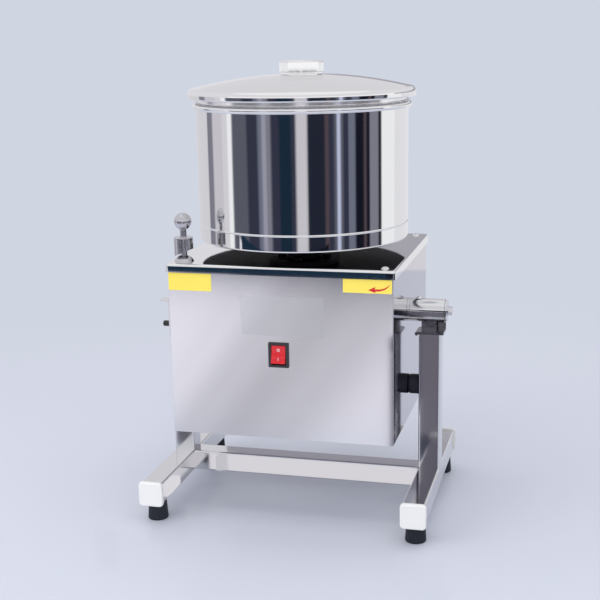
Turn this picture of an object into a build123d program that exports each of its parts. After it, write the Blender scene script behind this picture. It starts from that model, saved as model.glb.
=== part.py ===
from build123d import *
import os
from math import cos, radians, sin

os.makedirs("parts", exist_ok=True)

# A small tilting wet grinder: a polished drum of batter stones turns on a square housing,
# and the housing swings forward between the two legs of a square-tube stand to pour.
# Millimetres, Z up, Y towards the back, X to the right as one faces the switch.
# The origin lies on the floor, under the middle of the whole machine.

# Stand: two foot tubes, a cross tube between them and a leg on each.
stand_y = -4.0  # plane of the legs and of the tilting axis
leg_gap = 13.75  # from the housing's walls to the legs
tube_size = 27.5
tube_wall = 1.6
tube_corner = 2.4
foot_tube_length = 277.0
leg_length = 177.5

# Plastic plugs that close the foot tubes.
cap_overhang = 2.2
cap_thickness = 5.0
cap_round = 2.0
cap_stem = 14.0
cap_slack = 0.3

# Tapered rubber feet, each held by a screw from below.
foot_height = 26.0
foot_base_radius = 13.0
foot_top_radius = 11.4
foot_inset = 19.5  # from the end of the tube to the middle of the foot
foot_recess_depth = 9.0
foot_recess_radius = 6.5
foot_edge_round = 1.5
foot_screw_radius = 3.0
foot_screw_head_radius = 5.4
foot_screw_head = 4.0
foot_screw_reach = 6.0  # how far the screw stands up inside the tube
hole_slack = 0.15

# Tilting bearing on top of each leg.
saddle_height = 28.8  # from the leg's top to the tilting axis
saddle_plate = 3.0
saddle_cheek = 4.0  # upright along the plate's back edge
saddle_web = 7.0  # short block under the middle of the sleeve
saddle_web_length = 13.0
saddle_overhang = 3.6  # past the leg's outer face
saddle_lip = 2.6  # how far the right saddle's inboard edge is curled past the leg
saddle_lip_drop = 2.0  # how far the curl hangs below the plate
saddle_rise_share = 0.62  # how far up the sleeve the cheek reaches, as a share of its radius
sleeve_radius = 14.9
sleeve_bore = 12.0
sleeve_gap = 2.0  # from the housing's wall to the sleeve
sleeve_length = 43.5  # the right one; the left one ends flush with its leg
shaft_radius = 10.0
running_fit = 0.05
body_clearance = 0.3  # between faces that slide past each other
weld_gap = 0.05
flange_size = 56.0
flange_thickness = 4.0
flange_corner = 6.0
pivot_washer_radius = 13.6
pivot_washer_thickness = 2.0
pivot_bolt_across = 10.0
pivot_bolt_head = 4.6
pivot_bolt_collar_radius = 6.6
pivot_bolt_collar = 1.6
pivot_bolt_radius = 3.0
pivot_bolt_length = 14.0
oil_cap_radius = 4.6
oil_cap_height = 2.8
oil_cap_stem_radius = 2.0
oil_cap_offset = 10.0  # from the sleeve's inner end
bush_radius = 12.65
bush_drop = 98.0  # below the tilting axis
bush_edge = 1.2

# Tilt lock on the left leg: a sprung pin pulled outward by a black knob.
lock_drop = 4.6  # the pin lies this far below the leg's top
lock_plate = 2.5
lock_plate_width = 22.0
lock_tab_reach = 15.5
lock_tab_width = 15.0
lock_tab_above_axis = 0.5
lock_plate_depth = 14.0  # how far the plate goes below the pin
lock_gusset_width = 5.6
lock_gusset_depth = 16.0
lock_pin_radius = 3.0
lock_collar_radius = 4.2
lock_collar_length = 3.0
lock_collar_inset = 4.0
lock_neck = 2.4  # pin showing between the plate and the knob
lock_knob_radius = 3.9
lock_knob_length = 9.5
lock_knob_socket = 6.0
lock_tip_gap = 0.5
lock_spring_radius = 3.75
lock_spring_wire = 0.45
lock_spring_turns = 6

# Housing: a sheet-steel box under a polished tray-shaped cover.
body_width = 278.0
body_depth = 258.5
body_height = 214.5
body_drop = 141.0  # the housing's bottom lies this far below the tilting axis
body_setback = 9.1  # the housing's middle lies this far behind the legs
sheet = 1.2
panel_flange = 12.0
panel_round = 1.0
panel_slack = 0.3
cover_overhang = 3.0
cover_skirt = 10.6
cover_bend = 5.0
cover_corner = 4.0
cover_hole = 17.0
deck_thickness = 5.0
deck_bevel = 2.2  # clears the cover's bend
screw_inset = 12.0
screw_radius = 2.5
screw_head_radius = 5.0
screw_head_height = 2.6
screw_length = 9.0
vent_radius = 4.0
vent_pitch = 18.0
vent_columns = 5
vent_rows = 3

# Pressed louvres in the back panel.
louvre_length = 70.0
louvre_depth = 6.0
louvre_pitch = 15.0
louvre_count = 6
louvre_apart = 116.0
louvre_above_bottom = 106.0

# Cable gland low on the back panel.
gland_from_right = 47.0
gland_above_bottom = 32.0
gland_bore = 4.0
gland_thread_radius = 8.0
gland_flange_radius = 12.0
gland_flange = 3.0
gland_nose = 13.0
gland_nose_radius = 7.2
gland_tail = 12.0

# Rocker switch in the front panel.
switch_x = -1.0
switch_above_bottom = 106.2
bezel_width = 25.5
bezel_height = 31.0
bezel_proud = 2.0
bezel_round = 1.2
switch_body_width = 22.0
switch_body_height = 28.0
switch_body_depth = 24.0
rocker_width = 17.5
rocker_height = 22.0
rocker_proud = 6.0  # from the rocker's axis to the ends of its face
rocker_dip = 1.6  # how much the middle of its face is lower than the ends
rocker_back = 5.0
rocker_back_height = 9.0
rocker_tilt = 11.0  # degrees to each side of level
rocker_axis_depth = 4.0  # behind the bezel's face
rocker_pin_radius = 1.5
rocker_pin_length = 1.5
switch_recess_depth = 11.0
switch_recess_slack = 0.35
switch_recess_height = 24.9
lug_width = 6.3
lug_thickness = 0.8
lug_length = 8.0
lug_pitch = 7.0

# Drum: spun sheet with a wired rim and one raised ring.
drum_radius = 133.2
drum_height = 166.4  # from its bottom to the centre of the rolled rim
drum_gap = 16.8  # from the cover to the drum's bottom
drum_floor = 1.5
drum_corner = 2.6
rim_roll_radius = 3.9
rim_overhang = 0.8  # the roll's centre stands this far outside the wall
ring_roll_radius = 1.1
ring_above_bottom = 20.6

# Hub, spindle and bearings.
hub_radius = 45.0
hub_plate = 6.0
hub_boss_radius = 22.0
hub_boss_gap = 1.7  # between the cover and the boss
spindle_collar_radius = 15.0
spindle_thread_radius = 8.0
spindle_thread = 10.0
spindle_top_inset = 1.5
spindle_nut_across = 24.0
spindle_nut_height = 8.0
bearing_radius = 23.5
bearing_width = 14.0
bearing_groove = 1.0
bearing_race = 3.2
barrel_radius = 31.0
barrel_shoulder = 19.0
barrel_bottom_gap = 3.0  # between the barrel and the pulley's hub
barrel_lip = 2.0
barrel_flange_radius = 50.0
barrel_flange = 8.0
deck_hole = 26.0
bearing_bolt_circle = 40.0
bearing_bolt_radius = 3.0
bearing_bolt_across = 10.0
bearing_bolt_head = 4.0
hub_bolt_circle = 30.0
hub_bolt_radius = 3.0
hub_bolt_across = 10.0
hub_bolt_head = 4.0
bolt_count = 4

# Stones: a flat base stone and two rollers that ride round on it.
stone_slack = 1.5
stone_thickness = 46.0
stone_edge = 5.0
pin_radius = 9.0
pin_flange_radius = 38.0
pin_flange = 5.0
pin_height = 98.0
roller_radius = 35.0
roller_length = 58.0
roller_inner = 29.0  # from the drum's axis to the roller's inner end
roller_edge = 5.0
axle_radius = 7.0
yoke_hub_radius = 19.0
yoke_hub_below = 26.0
yoke_hub_above = 24.0
yoke_hub_round = 4.0
yoke_end_gap = 0.5  # above the pin's top
axle_cap_radius = 12.0
axle_cap_thickness = 7.0
axle_cap_round = 2.5
wiper_width = 16.0
wiper_thickness = 6.0
wiper_wall_gap = 3.0
wiper_blade_thickness = 4.0
wiper_stone_gap = 1.5

# Belt drive: a deep pulley on the spindle and a small one on the motor.
pulley_gap = 5.48  # between the rims of the two pulleys
pulley_width = 18.0
pulley_rim = 12.0
pulley_web = 6.0
pulley_hub_radius = 18.0
pulley_hub_extra = 4.0  # hub beyond the rim, each side
pulley_hole_share = 0.6  # of the web's width
pulley_hole_count = 5
pulley_middle_above_bottom = 117.2
motor_pulley_radius = 18.0
motor_pulley_top = 1.5
belt_width = 10.0
belt_depth = 6.0
belt_narrowing = 2.0  # each side, from the belt's back to its inner face

# Motor, standing on the bottom behind the drum's axis.
motor_from_left = 61.0  # from the housing's walls to the motor's axis
motor_from_back = 61.25
motor_radius = 50.0
motor_height = 98.0
motor_waist = 2.5
motor_bell = 16.0
motor_nose_radius = 15.0
motor_nose = 3.0
motor_flange = 6.0
motor_flange_size = 100.0
motor_plate_size = 112.0
motor_plate_thickness = 4.0
motor_bolt_spacing = 82.0
motor_bolt_radius = 3.0
motor_bolt_across = 10.0
motor_bolt_head = 4.0
motor_bolt_reach = 4.0
motor_shaft_radius = 7.0
motor_shaft_depth = 40.0
capacitor_radius = 18.0
capacitor_height = 72.0
capacitor_from_right = 49.0
capacitor_from_front = 47.25
capacitor_bead = 1.2
capacitor_base = 4.0

# Latch post on the front left corner of the cover.
post_from_left = 15.0
post_from_front = 18.25
post_dome_radius = 12.3
post_dome_height = 7.9
post_radius = 4.0
post_neck_radius = 2.6
post_head_radius = 6.0
post_head = 1.2
post_screw_radius = 4.0
post_screw_length = 14.0
sleeve_low_above_cover = 6.4  # lowest point of the bevelled end
sleeve_bevel_rise = 9.3
latch_radius = 11.7
latch_height = 23.6
latch_roof = 1.4
latch_ledge = 1.6
latch_ledge_above_bevel = 0.9
latch_bore_slack = 0.3
latch_chamber_radius = 8.2
latch_top_round = 1.2
latch_neck_radius = 4.1
latch_ball_radius = 10.6
latch_ball_above_sleeve = 19.0
latch_spring_radius = 4.4
latch_spring_wire = 0.4
latch_spring_turns = 5

# Lid: a shallow dome with a rounded shoulder, a hemmed edge and a skirt that sits on the rim.
lid_overhang = 4.8  # past the outside of the drum's rim
lid_hem_above_rim = 5.6  # from the top of the drum's rim to the hem's lower edge
lid_hem_radius = 2.2
lid_shoulder_above_rim = 18.0
lid_shoulder_inset = 6.8
lid_crown_above_rim = 34.3
lid_sheet = 1.2
skirt_inset = 0.5  # from the inside of the drum's wall to the skirt's upper ring
skirt_seat_past_roll = 0.6  # flange that lies on the rim, past the middle of its roll
skirt_step_inset = 3.0  # from the inside of the drum's wall to the skirt's lower ring
skirt_depth = 10.0
skirt_sheet = 1.2
knob_radius = 27.5
knob_height = 15.5
knob_round = 2.0
knob_foot_radius = 25.0
knob_foot = 1.6
knob_screw_radius = 3.0
knob_screw_head_radius = 7.0
knob_screw_head = 2.5
knob_screw_length = 10.0

overrun = 2.0  # how far cutting tools run past the faces they cut

# Levels and places that follow from the sizes above.
stand_half_width = body_width / 2 + leg_gap + tube_size / 2  # centre line of each foot tube and leg
foot_tube_top = foot_height + tube_size
leg_top = foot_tube_top + leg_length
pivot_z = leg_top + saddle_height
pivot_y = stand_y
leg_inner_x = stand_half_width - tube_size / 2
leg_outer_x = stand_half_width + tube_size / 2
body_y = stand_y + body_setback
body_bottom = pivot_z - body_drop
cover_top = body_bottom + body_height
deck_top = cover_top - sheet
wall_top = deck_top - deck_thickness
wall_height = wall_top - body_bottom
wall_x = body_width / 2
front_y = body_y - body_depth / 2
back_y = body_y + body_depth / 2
sleeve_start = wall_x + sleeve_gap
sleeve_ends = {-1: leg_outer_x - body_clearance, 1: sleeve_start + sleeve_length}
shaft_ends = {-1: sleeve_ends[-1] - body_clearance, 1: sleeve_ends[1] + body_clearance}
saddle_ends = {-1: leg_outer_x, 1: leg_outer_x + saddle_overhang}
foot_y = foot_tube_length / 2 - foot_inset
drum_bottom = cover_top + drum_gap
floor_top = drum_bottom + drum_floor
rim_z = drum_bottom + drum_height
rim_top = rim_z + rim_roll_radius
rim_roll_centre = drum_radius + rim_overhang
drum_inner_radius = drum_radius - sheet
lid_radius = rim_roll_centre + rim_roll_radius + lid_overhang
skirt_radius = drum_inner_radius - skirt_inset
skirt_seat_radius = rim_roll_centre + skirt_seat_past_roll
skirt_step_radius = drum_inner_radius - skirt_step_inset
stone_top = floor_top + stone_thickness
axle_z = stone_top + body_clearance + roller_radius
pulley_z = body_bottom + pulley_middle_above_bottom
hub_boss_bottom = cover_top + hub_boss_gap
pulley_hub_bottom = pulley_z - pulley_width / 2 - pulley_hub_extra
pulley_hub_top = pulley_z + pulley_width / 2 + pulley_hub_extra
barrel_bottom = pulley_hub_top + barrel_bottom_gap
motor_x = motor_from_left - wall_x
motor_y = back_y - motor_from_back
pulley_radius = (motor_x**2 + (motor_y - body_y) ** 2) ** 0.5 - motor_pulley_radius - pulley_gap
pulley_web_width = pulley_radius - pulley_rim - pulley_hub_radius
motor_bottom = body_bottom + sheet + motor_plate_thickness
motor_top = motor_bottom + motor_height
switch_z = body_bottom + switch_above_bottom
bezel_face = front_y - bezel_proud
post_x = post_from_left - wall_x
post_y = front_y + post_from_front
lock_z = leg_top - lock_drop

sides = ((-1, "left"), (1, "right"))
drum_axis = Axis((0, body_y, 0), (0, 0, 1))
drum_plane = Plane.XZ.offset(-body_y)  # radius to the right, height up, through the drum's axis


def outward(side, distance, y=0, z=0):
    """Plane square to X that faces away from the middle of the machine."""
    return Plane(origin=(side * distance, y, z), x_dir=(0, side, 0), z_dir=(side, 0, 0))


def upright(x, y):
    """Plane through a vertical axis at x, y: its first direction is a radius, its second is up."""
    return Plane(origin=(x, y, 0), x_dir=(1, 0, 0), z_dir=(0, -1, 0))


def box_profile(size, wall, corner):
    """Section of a square tube with rounded corners, in the sketch that is open."""
    RectangleRounded(size, size, corner)
    inner = size - 2 * wall
    RectangleRounded(inner, inner, corner - wall / 2, mode=Mode.SUBTRACT)


# Foot tubes, with the holes for the screws of the feet.
for side, hand in sides:
    with BuildPart() as foot_tube:
        with BuildSketch(Plane.XZ.offset(-stand_y)):
            with Locations((side * stand_half_width, foot_height + tube_size / 2)):
                box_profile(tube_size, tube_wall, tube_corner)
        extrude(amount=foot_tube_length / 2, both=True)
        with BuildSketch(Plane.XY.offset(foot_height - overrun)):
            with Locations(*[(side * stand_half_width, stand_y + end * foot_y) for end in (-1, 1)]):
                Circle(foot_screw_radius + hole_slack)
        extrude(amount=tube_wall + 2 * overrun, mode=Mode.SUBTRACT)
    foot_tube.part.label = "foot_tube_" + hand
    export_step(foot_tube.part, "parts/foot_tube_" + hand + ".step")

# Cross tube between the foot tubes, in the plane of the legs.
with BuildPart() as cross_tube:
    with BuildSketch(Plane.YZ):
        with Locations((stand_y, foot_height + tube_size / 2)):
            box_profile(tube_size, tube_wall, tube_corner)
    extrude(amount=stand_half_width - tube_size / 2, both=True)
cross_tube.part.label = "cross_tube"
export_step(cross_tube.part, "parts/cross_tube.step")

# Legs; the left one is bored across for the tilt lock's pin.
for side, hand in sides:
    with BuildPart() as leg:
        with BuildSketch(Plane.XY.offset(foot_tube_top)):
            with Locations((side * stand_half_width, stand_y)):
                box_profile(tube_size, tube_wall, tube_corner)
        extrude(amount=leg_length)
        if side < 0:
            with BuildSketch(outward(side, leg_inner_x - overrun, stand_y, lock_z)):
                Circle(lock_pin_radius + hole_slack)
            extrude(amount=tube_size + 2 * overrun, mode=Mode.SUBTRACT)
    leg.part.label = "leg_" + hand
    export_step(leg.part, "parts/leg_" + hand + ".step")

# End caps: a rounded plate outside the tube and a hollow stem inside it.
cap_size = tube_size + 2 * cap_overhang
stem_size = tube_size - 2 * tube_wall - 2 * cap_slack
with BuildPart() as end_caps:
    for end in (-1, 1):
        tube_end = stand_y + end * foot_tube_length / 2
        face_plane = Plane(origin=(0, tube_end, 0), x_dir=(-end, 0, 0), z_dir=(0, end, 0))
        with BuildSketch(face_plane):
            with Locations(*[(s * stand_half_width, foot_height + tube_size / 2) for s in (-1, 1)]):
                RectangleRounded(cap_size, cap_size, tube_corner)
        extrude(amount=cap_thickness)
        with BuildSketch(face_plane):
            with Locations(*[(s * stand_half_width, foot_height + tube_size / 2) for s in (-1, 1)]):
                box_profile(stem_size, tube_wall, tube_corner - cap_slack)
        extrude(amount=-cap_stem)
    outer_faces = end_caps.faces().filter_by(Axis.Y).sort_by(Axis.Y)
    fillet(outer_faces[:2].edges() + outer_faces[-2:].edges(), cap_round)
end_caps.part.label = "end_caps"
export_step(end_caps.part, "parts/end_caps.step")

# Rubber feet: tapered, recessed below for the screw's head.
foot_spots = [(s * stand_half_width, stand_y + end * foot_y) for s in (-1, 1) for end in (-1, 1)]
with BuildPart() as rubber_feet:
    for foot_x, foot_centre_y in foot_spots:
        with BuildSketch(upright(foot_x, foot_centre_y)):
            with BuildLine():
                Polyline(
                    (foot_screw_radius + hole_slack, foot_recess_depth),
                    (foot_recess_radius, foot_recess_depth),
                    (foot_recess_radius, 0),
                    (foot_base_radius, 0),
                    (foot_top_radius, foot_height),
                    (foot_screw_radius + hole_slack, foot_height),
                    close=True,
                )
            make_face()
            fillet(vertices().group_by(Axis.Y)[0].sort_by(Axis.X)[-1], foot_edge_round)
        revolve(axis=Axis((foot_x, foot_centre_y, 0), (0, 0, 1)))
rubber_feet.part.label = "rubber_feet"
export_step(rubber_feet.part, "parts/rubber_feet.step")

with BuildPart() as foot_screws:
    for foot_x, foot_centre_y in foot_spots:
        with BuildSketch(Plane.XY.offset(foot_recess_depth - foot_screw_head)):
            with Locations((foot_x, foot_centre_y)):
                RegularPolygon(foot_screw_head_radius, 6)
        extrude(amount=foot_screw_head)
        with BuildSketch(Plane.XY.offset(foot_recess_depth)):
            with Locations((foot_x, foot_centre_y)):
                Circle(foot_screw_radius)
        extrude(amount=foot_height - foot_recess_depth + tube_wall + foot_screw_reach)
foot_screws.part.label = "foot_screws"
export_step(foot_screws.part, "parts/foot_screws.step")

# Saddles: a plate on the leg's top, an upright cheek along its back edge and a short web under the
# sleeve, both cut to the sleeve. The right one's inboard edge is curled down; the left one leaves
# that room to the lock pin.
saddle_back = (tube_size - saddle_cheek) / 2
cheek_height = saddle_height - sleeve_radius * (1 - saddle_rise_share)
curl_radius = (saddle_plate + saddle_lip_drop) / 2
with BuildPart() as pivot_saddles:
    for side, hand in sides:
        with BuildSketch(outward(side, leg_inner_x, stand_y, leg_top)):
            with Locations((0, saddle_plate / 2)):
                Rectangle(tube_size, saddle_plate)
            with Locations((side * saddle_back, cheek_height / 2)):
                Rectangle(saddle_cheek, cheek_height)
            with Locations((0, saddle_height)):
                Circle(sleeve_radius + weld_gap, mode=Mode.SUBTRACT)
        extrude(amount=saddle_ends[side] - leg_inner_x)
        with BuildSketch(outward(side, stand_half_width - saddle_web_length / 2, stand_y, leg_top)):
            with Locations((0, cheek_height / 2)):
                Rectangle(saddle_web, cheek_height)
            with Locations((0, saddle_height)):
                Circle(sleeve_radius + weld_gap, mode=Mode.SUBTRACT)
        extrude(amount=saddle_web_length)
    with BuildSketch(Plane.XZ.offset(-stand_y)):
        with BuildLine():
            Polyline(
                (leg_inner_x, leg_top),
                (leg_inner_x, leg_top + saddle_plate),
                (leg_inner_x - saddle_lip, leg_top + saddle_plate),
            )
            RadiusArc(
                (leg_inner_x - saddle_lip, leg_top + saddle_plate),
                (leg_inner_x - saddle_lip, leg_top - saddle_lip_drop),
                -curl_radius,
            )
            Line((leg_inner_x - saddle_lip, leg_top - saddle_lip_drop), (leg_inner_x, leg_top))
        make_face()
    extrude(amount=tube_size / 2, both=True)
pivot_saddles.part.label = "pivot_saddles"
export_step(pivot_saddles.part, "parts/pivot_saddles.step")

# Sleeves welded on the saddles, each with an oil hole on top near its inner end.
oil_x = sleeve_start + oil_cap_offset
with BuildPart() as pivot_sleeves:
    for side, hand in sides:
        with BuildSketch(outward(side, sleeve_start, pivot_y, pivot_z)):
            Circle(sleeve_radius)
            Circle(sleeve_bore, mode=Mode.SUBTRACT)
        extrude(amount=sleeve_ends[side] - sleeve_start)
    with BuildSketch(Plane.XY.offset(pivot_z + sleeve_bore - overrun)):
        with Locations(*[(s * oil_x, pivot_y) for s in (-1, 1)]):
            Circle(oil_cap_stem_radius + hole_slack)
    extrude(amount=sleeve_radius - sleeve_bore + 2 * overrun, mode=Mode.SUBTRACT)
pivot_sleeves.part.label = "pivot_sleeves"
export_step(pivot_sleeves.part, "parts/pivot_sleeves.step")

with BuildPart() as pivot_bushes:
    for side, hand in sides:
        with BuildSketch(outward(side, sleeve_start + sheet, pivot_y, pivot_z)):
            Circle(sleeve_bore)
            Circle(shaft_radius + running_fit, mode=Mode.SUBTRACT)
        extrude(amount=sleeve_ends[side] - sleeve_start - 2 * sheet)
pivot_bushes.part.label = "pivot_bushes"
export_step(pivot_bushes.part, "parts/pivot_bushes.step")

oil_seat = pivot_z + sleeve_radius
with BuildPart() as oil_caps:
    for side, hand in sides:
        with BuildSketch(upright(side * oil_x, pivot_y)):
            with BuildLine():
                Line((0, oil_seat + oil_cap_height), (0, pivot_z + sleeve_bore + body_clearance))
                Polyline(
                    (0, pivot_z + sleeve_bore + body_clearance),
                    (oil_cap_stem_radius, pivot_z + sleeve_bore + body_clearance),
                    (oil_cap_stem_radius, oil_seat),
                    (oil_cap_radius, oil_seat),
                )
                RadiusArc((0, oil_seat + oil_cap_height), (oil_cap_radius, oil_seat), oil_cap_radius + sheet)
            make_face()
        revolve(axis=Axis((side * oil_x, pivot_y, 0), (0, 0, 1)))
oil_caps.part.label = "oil_caps"
export_step(oil_caps.part, "parts/oil_caps.step")

# Rubber bushes on the legs' inner faces, which keep the housing from swaying sideways.
bush_start = wall_x + body_clearance
with BuildPart() as stop_bushes:
    for side, hand in sides:
        with BuildSketch(outward(side, bush_start, stand_y, pivot_z - bush_drop)):
            Circle(bush_radius)
        extrude(amount=leg_inner_x - bush_start)
    chamfer(stop_bushes.edges().filter_by(GeomType.CIRCLE), bush_edge)
stop_bushes.part.label = "stop_bushes"
export_step(stop_bushes.part, "parts/stop_bushes.step")

# Lock bracket: an upright plate on the left leg's outer face, turned out into a tab at the axis,
# with a curved gusset under the tab.
tab_top = pivot_z + lock_tab_above_axis
tab_bottom = tab_top - lock_plate
plate_bottom = lock_z - lock_plate_depth
with BuildPart() as lock_bracket:
    with BuildSketch(outward(-1, leg_outer_x, stand_y, 0)):
        with Locations((0, (plate_bottom + tab_top) / 2)):
            RectangleRounded(lock_plate_width, tab_top - plate_bottom, lock_plate)
        with Locations((0, lock_z)):
            Circle(lock_pin_radius + hole_slack, mode=Mode.SUBTRACT)
    extrude(amount=lock_plate)
    with BuildSketch(Plane.XY.offset(tab_bottom)):
        with Locations((-leg_outer_x - lock_tab_reach / 2, stand_y)):
            RectangleRounded(lock_tab_reach, lock_tab_width, lock_plate)
    extrude(amount=lock_plate)
    with BuildSketch(Plane.XZ.offset(-stand_y)):
        with BuildLine():
            gusset_in = -leg_outer_x - lock_plate
            gusset_out = gusset_in - lock_gusset_width
            gusset_low = tab_bottom - lock_gusset_depth
            Polyline((gusset_out, tab_bottom), (gusset_in, tab_bottom), (gusset_in, gusset_low))
            RadiusArc((gusset_out, tab_bottom), (gusset_in, gusset_low), -2 * lock_gusset_depth)
        make_face()
    extrude(amount=lock_plate / 2, both=True)
lock_bracket.part.label = "lock_bracket"
export_step(lock_bracket.part, "parts/lock_bracket.step")

# Lock pin with its spring collar inside the leg, and the knob on its outer end.
lock_face = leg_outer_x + lock_plate
knob_start = lock_face + lock_neck
pin_tip = wall_x + lock_tip_gap
collar_start = leg_inner_x + tube_wall + lock_collar_inset
with BuildPart() as lock_pin:
    with BuildSketch(outward(-1, pin_tip, stand_y, lock_z)):
        Circle(lock_pin_radius)
    extrude(amount=knob_start + lock_knob_socket - pin_tip)
    chamfer(lock_pin.edges().filter_by(GeomType.CIRCLE).sort_by(Axis.X)[-1], lock_pin_radius / 3)
    with BuildSketch(outward(-1, collar_start, stand_y, lock_z)):
        Circle(lock_collar_radius)
    extrude(amount=lock_collar_length)
lock_pin.part.label = "lock_pin"
export_step(lock_pin.part, "parts/lock_pin.step")

with BuildPart() as lock_knob:
    with BuildSketch(outward(-1, knob_start, stand_y, lock_z)):
        Circle(lock_knob_radius)
    extrude(amount=lock_knob_length)
    fillet(lock_knob.edges().filter_by(GeomType.CIRCLE).sort_by(Axis.X)[0], lock_knob_radius / 2)
    with BuildSketch(outward(-1, knob_start, stand_y, lock_z)):
        Circle(lock_pin_radius)
    extrude(amount=lock_knob_socket, mode=Mode.SUBTRACT)
lock_knob.part.label = "lock_knob"
export_step(lock_knob.part, "parts/lock_knob.step")

spring_start = collar_start + lock_collar_length + lock_spring_wire + weld_gap
spring_room = leg_outer_x - tube_wall - lock_spring_wire - weld_gap - spring_start
with BuildPart() as lock_spring:
    with BuildLine() as coil:
        Helix(
            pitch=spring_room / lock_spring_turns,
            height=spring_room,
            radius=lock_spring_radius,
            center=(-spring_start, stand_y, lock_z),
            direction=(-1, 0, 0),
        )
    with BuildSketch(Plane(origin=coil.line @ 0, z_dir=coil.line % 0)):
        Circle(lock_spring_wire)
    sweep(is_frenet=True)
lock_spring.part.label = "lock_spring"
export_step(lock_spring.part, "parts/lock_spring.step")

# Front panel with the switch cut-out.
with BuildPart() as front_panel:
    with BuildSketch(Plane.XZ.offset(-front_y - sheet)):
        with Locations((0, body_bottom + wall_height / 2)):
            Rectangle(body_width, wall_height)
        with Locations((switch_x, switch_z)):
            Rectangle(switch_body_width + panel_slack, switch_body_height + panel_slack, mode=Mode.SUBTRACT)
    extrude(amount=sheet)
    corners = front_panel.edges().filter_by(Axis.Z).group_by(Axis.Y)[0].sort_by(Axis.X)
    fillet([corners[0], corners[-1]], panel_round)
front_panel.part.label = "front_panel"
export_step(front_panel.part, "parts/front_panel.step")

# Side panels: sheets with flanges turned in behind the front and back panels.
# The left one also has the hole that the lock pin catches in.
panel_front = front_y + sheet
panel_back = back_y - sheet
for side, hand in sides:
    with BuildPart() as side_panel:
        with BuildSketch(Plane.XY.offset(body_bottom)):
            with BuildLine():
                Polyline(
                    (side * (wall_x - panel_flange), panel_front),
                    (side * wall_x, panel_front),
                    (side * wall_x, panel_back),
                    (side * (wall_x - panel_flange), panel_back),
                    (side * (wall_x - panel_flange), panel_back - sheet),
                    (side * (wall_x - sheet), panel_back - sheet),
                    (side * (wall_x - sheet), panel_front + sheet),
                    (side * (wall_x - panel_flange), panel_front + sheet),
                    close=True,
                )
            make_face()
        extrude(amount=wall_height)
        with BuildSketch(outward(side, wall_x - sheet - overrun / 2, pivot_y, pivot_z)):
            Circle(shaft_radius + hole_slack)
            if side < 0:
                with Locations((0, lock_z - pivot_z)):
                    Circle(lock_pin_radius + panel_slack)
        extrude(amount=sheet + overrun, mode=Mode.SUBTRACT)
    side_panel.part.label = "side_panel_" + hand
    export_step(side_panel.part, "parts/side_panel_" + hand + ".step")

# Back panel: two columns of pressed louvres and the gland's hole.
gland_x = wall_x - gland_from_right
gland_z = body_bottom + gland_above_bottom
louvre_low = body_bottom + louvre_above_bottom - (louvre_count - 1) / 2 * louvre_pitch
louvre_spots = [
    (column * louvre_apart / 2, louvre_low + row * louvre_pitch)
    for column in (-1, 1)
    for row in range(louvre_count)
]
louvre_out = back_y + louvre_depth
with BuildPart() as back_panel:
    with BuildSketch(Plane.XZ.offset(-back_y)):
        with Locations((0, body_bottom + wall_height / 2)):
            Rectangle(body_width, wall_height)
        with Locations((gland_x, gland_z)):
            Circle(gland_thread_radius + hole_slack, mode=Mode.SUBTRACT)
    extrude(amount=sheet)
    for louvre_x, louvre_z in louvre_spots:
        with BuildSketch(Plane.YZ.offset(louvre_x)):
            with BuildLine():
                hood_top = louvre_z + louvre_depth + sheet
                Line((panel_back, louvre_z), (louvre_out, louvre_z))
                RadiusArc((louvre_out, louvre_z), (panel_back, hood_top), -louvre_depth - sheet)
                Line((panel_back, hood_top), (panel_back, louvre_z))
            make_face()
        extrude(amount=louvre_length / 2, both=True)
        with BuildSketch(Plane.YZ.offset(louvre_x)):
            with BuildLine():
                hollow_out = louvre_out - sheet
                hollow_top = louvre_z + louvre_depth
                Line((panel_back - sheet, louvre_z - sheet), (hollow_out, louvre_z - sheet))
                Line((hollow_out, louvre_z - sheet), (hollow_out, louvre_z))
                RadiusArc((hollow_out, louvre_z), (panel_back, hollow_top), -louvre_depth)
                Line((panel_back, hollow_top), (panel_back - sheet, hollow_top))
                Line((panel_back - sheet, hollow_top), (panel_back - sheet, louvre_z - sheet))
            make_face()
        extrude(amount=louvre_length / 2 - sheet, both=True, mode=Mode.SUBTRACT)
back_panel.part.label = "back_panel"
export_step(back_panel.part, "parts/back_panel.step")

# Bottom plate inside the walls, with vent holes and holes for the motor's bolts.
motor_bolts_at = [
    (motor_x + i * motor_bolt_spacing / 2, motor_y + j * motor_bolt_spacing / 2)
    for i in (-1, 1)
    for j in (-1, 1)
]
bottom_width = body_width - 2 * sheet
bottom_depth = body_depth - 4 * sheet
with BuildPart() as bottom_plate:
    with BuildSketch(Plane.XY.offset(body_bottom)):
        with Locations((0, body_y)):
            Rectangle(bottom_width, bottom_depth)
        with Locations((wall_x / 2, motor_y)):
            with GridLocations(vent_pitch, vent_pitch, vent_columns, vent_rows):
                Circle(vent_radius, mode=Mode.SUBTRACT)
        with Locations(*motor_bolts_at):
            Circle(motor_bolt_radius + hole_slack, mode=Mode.SUBTRACT)
    extrude(amount=sheet)
bottom_plate.part.label = "bottom_plate"
export_step(bottom_plate.part, "parts/bottom_plate.step")

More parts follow.
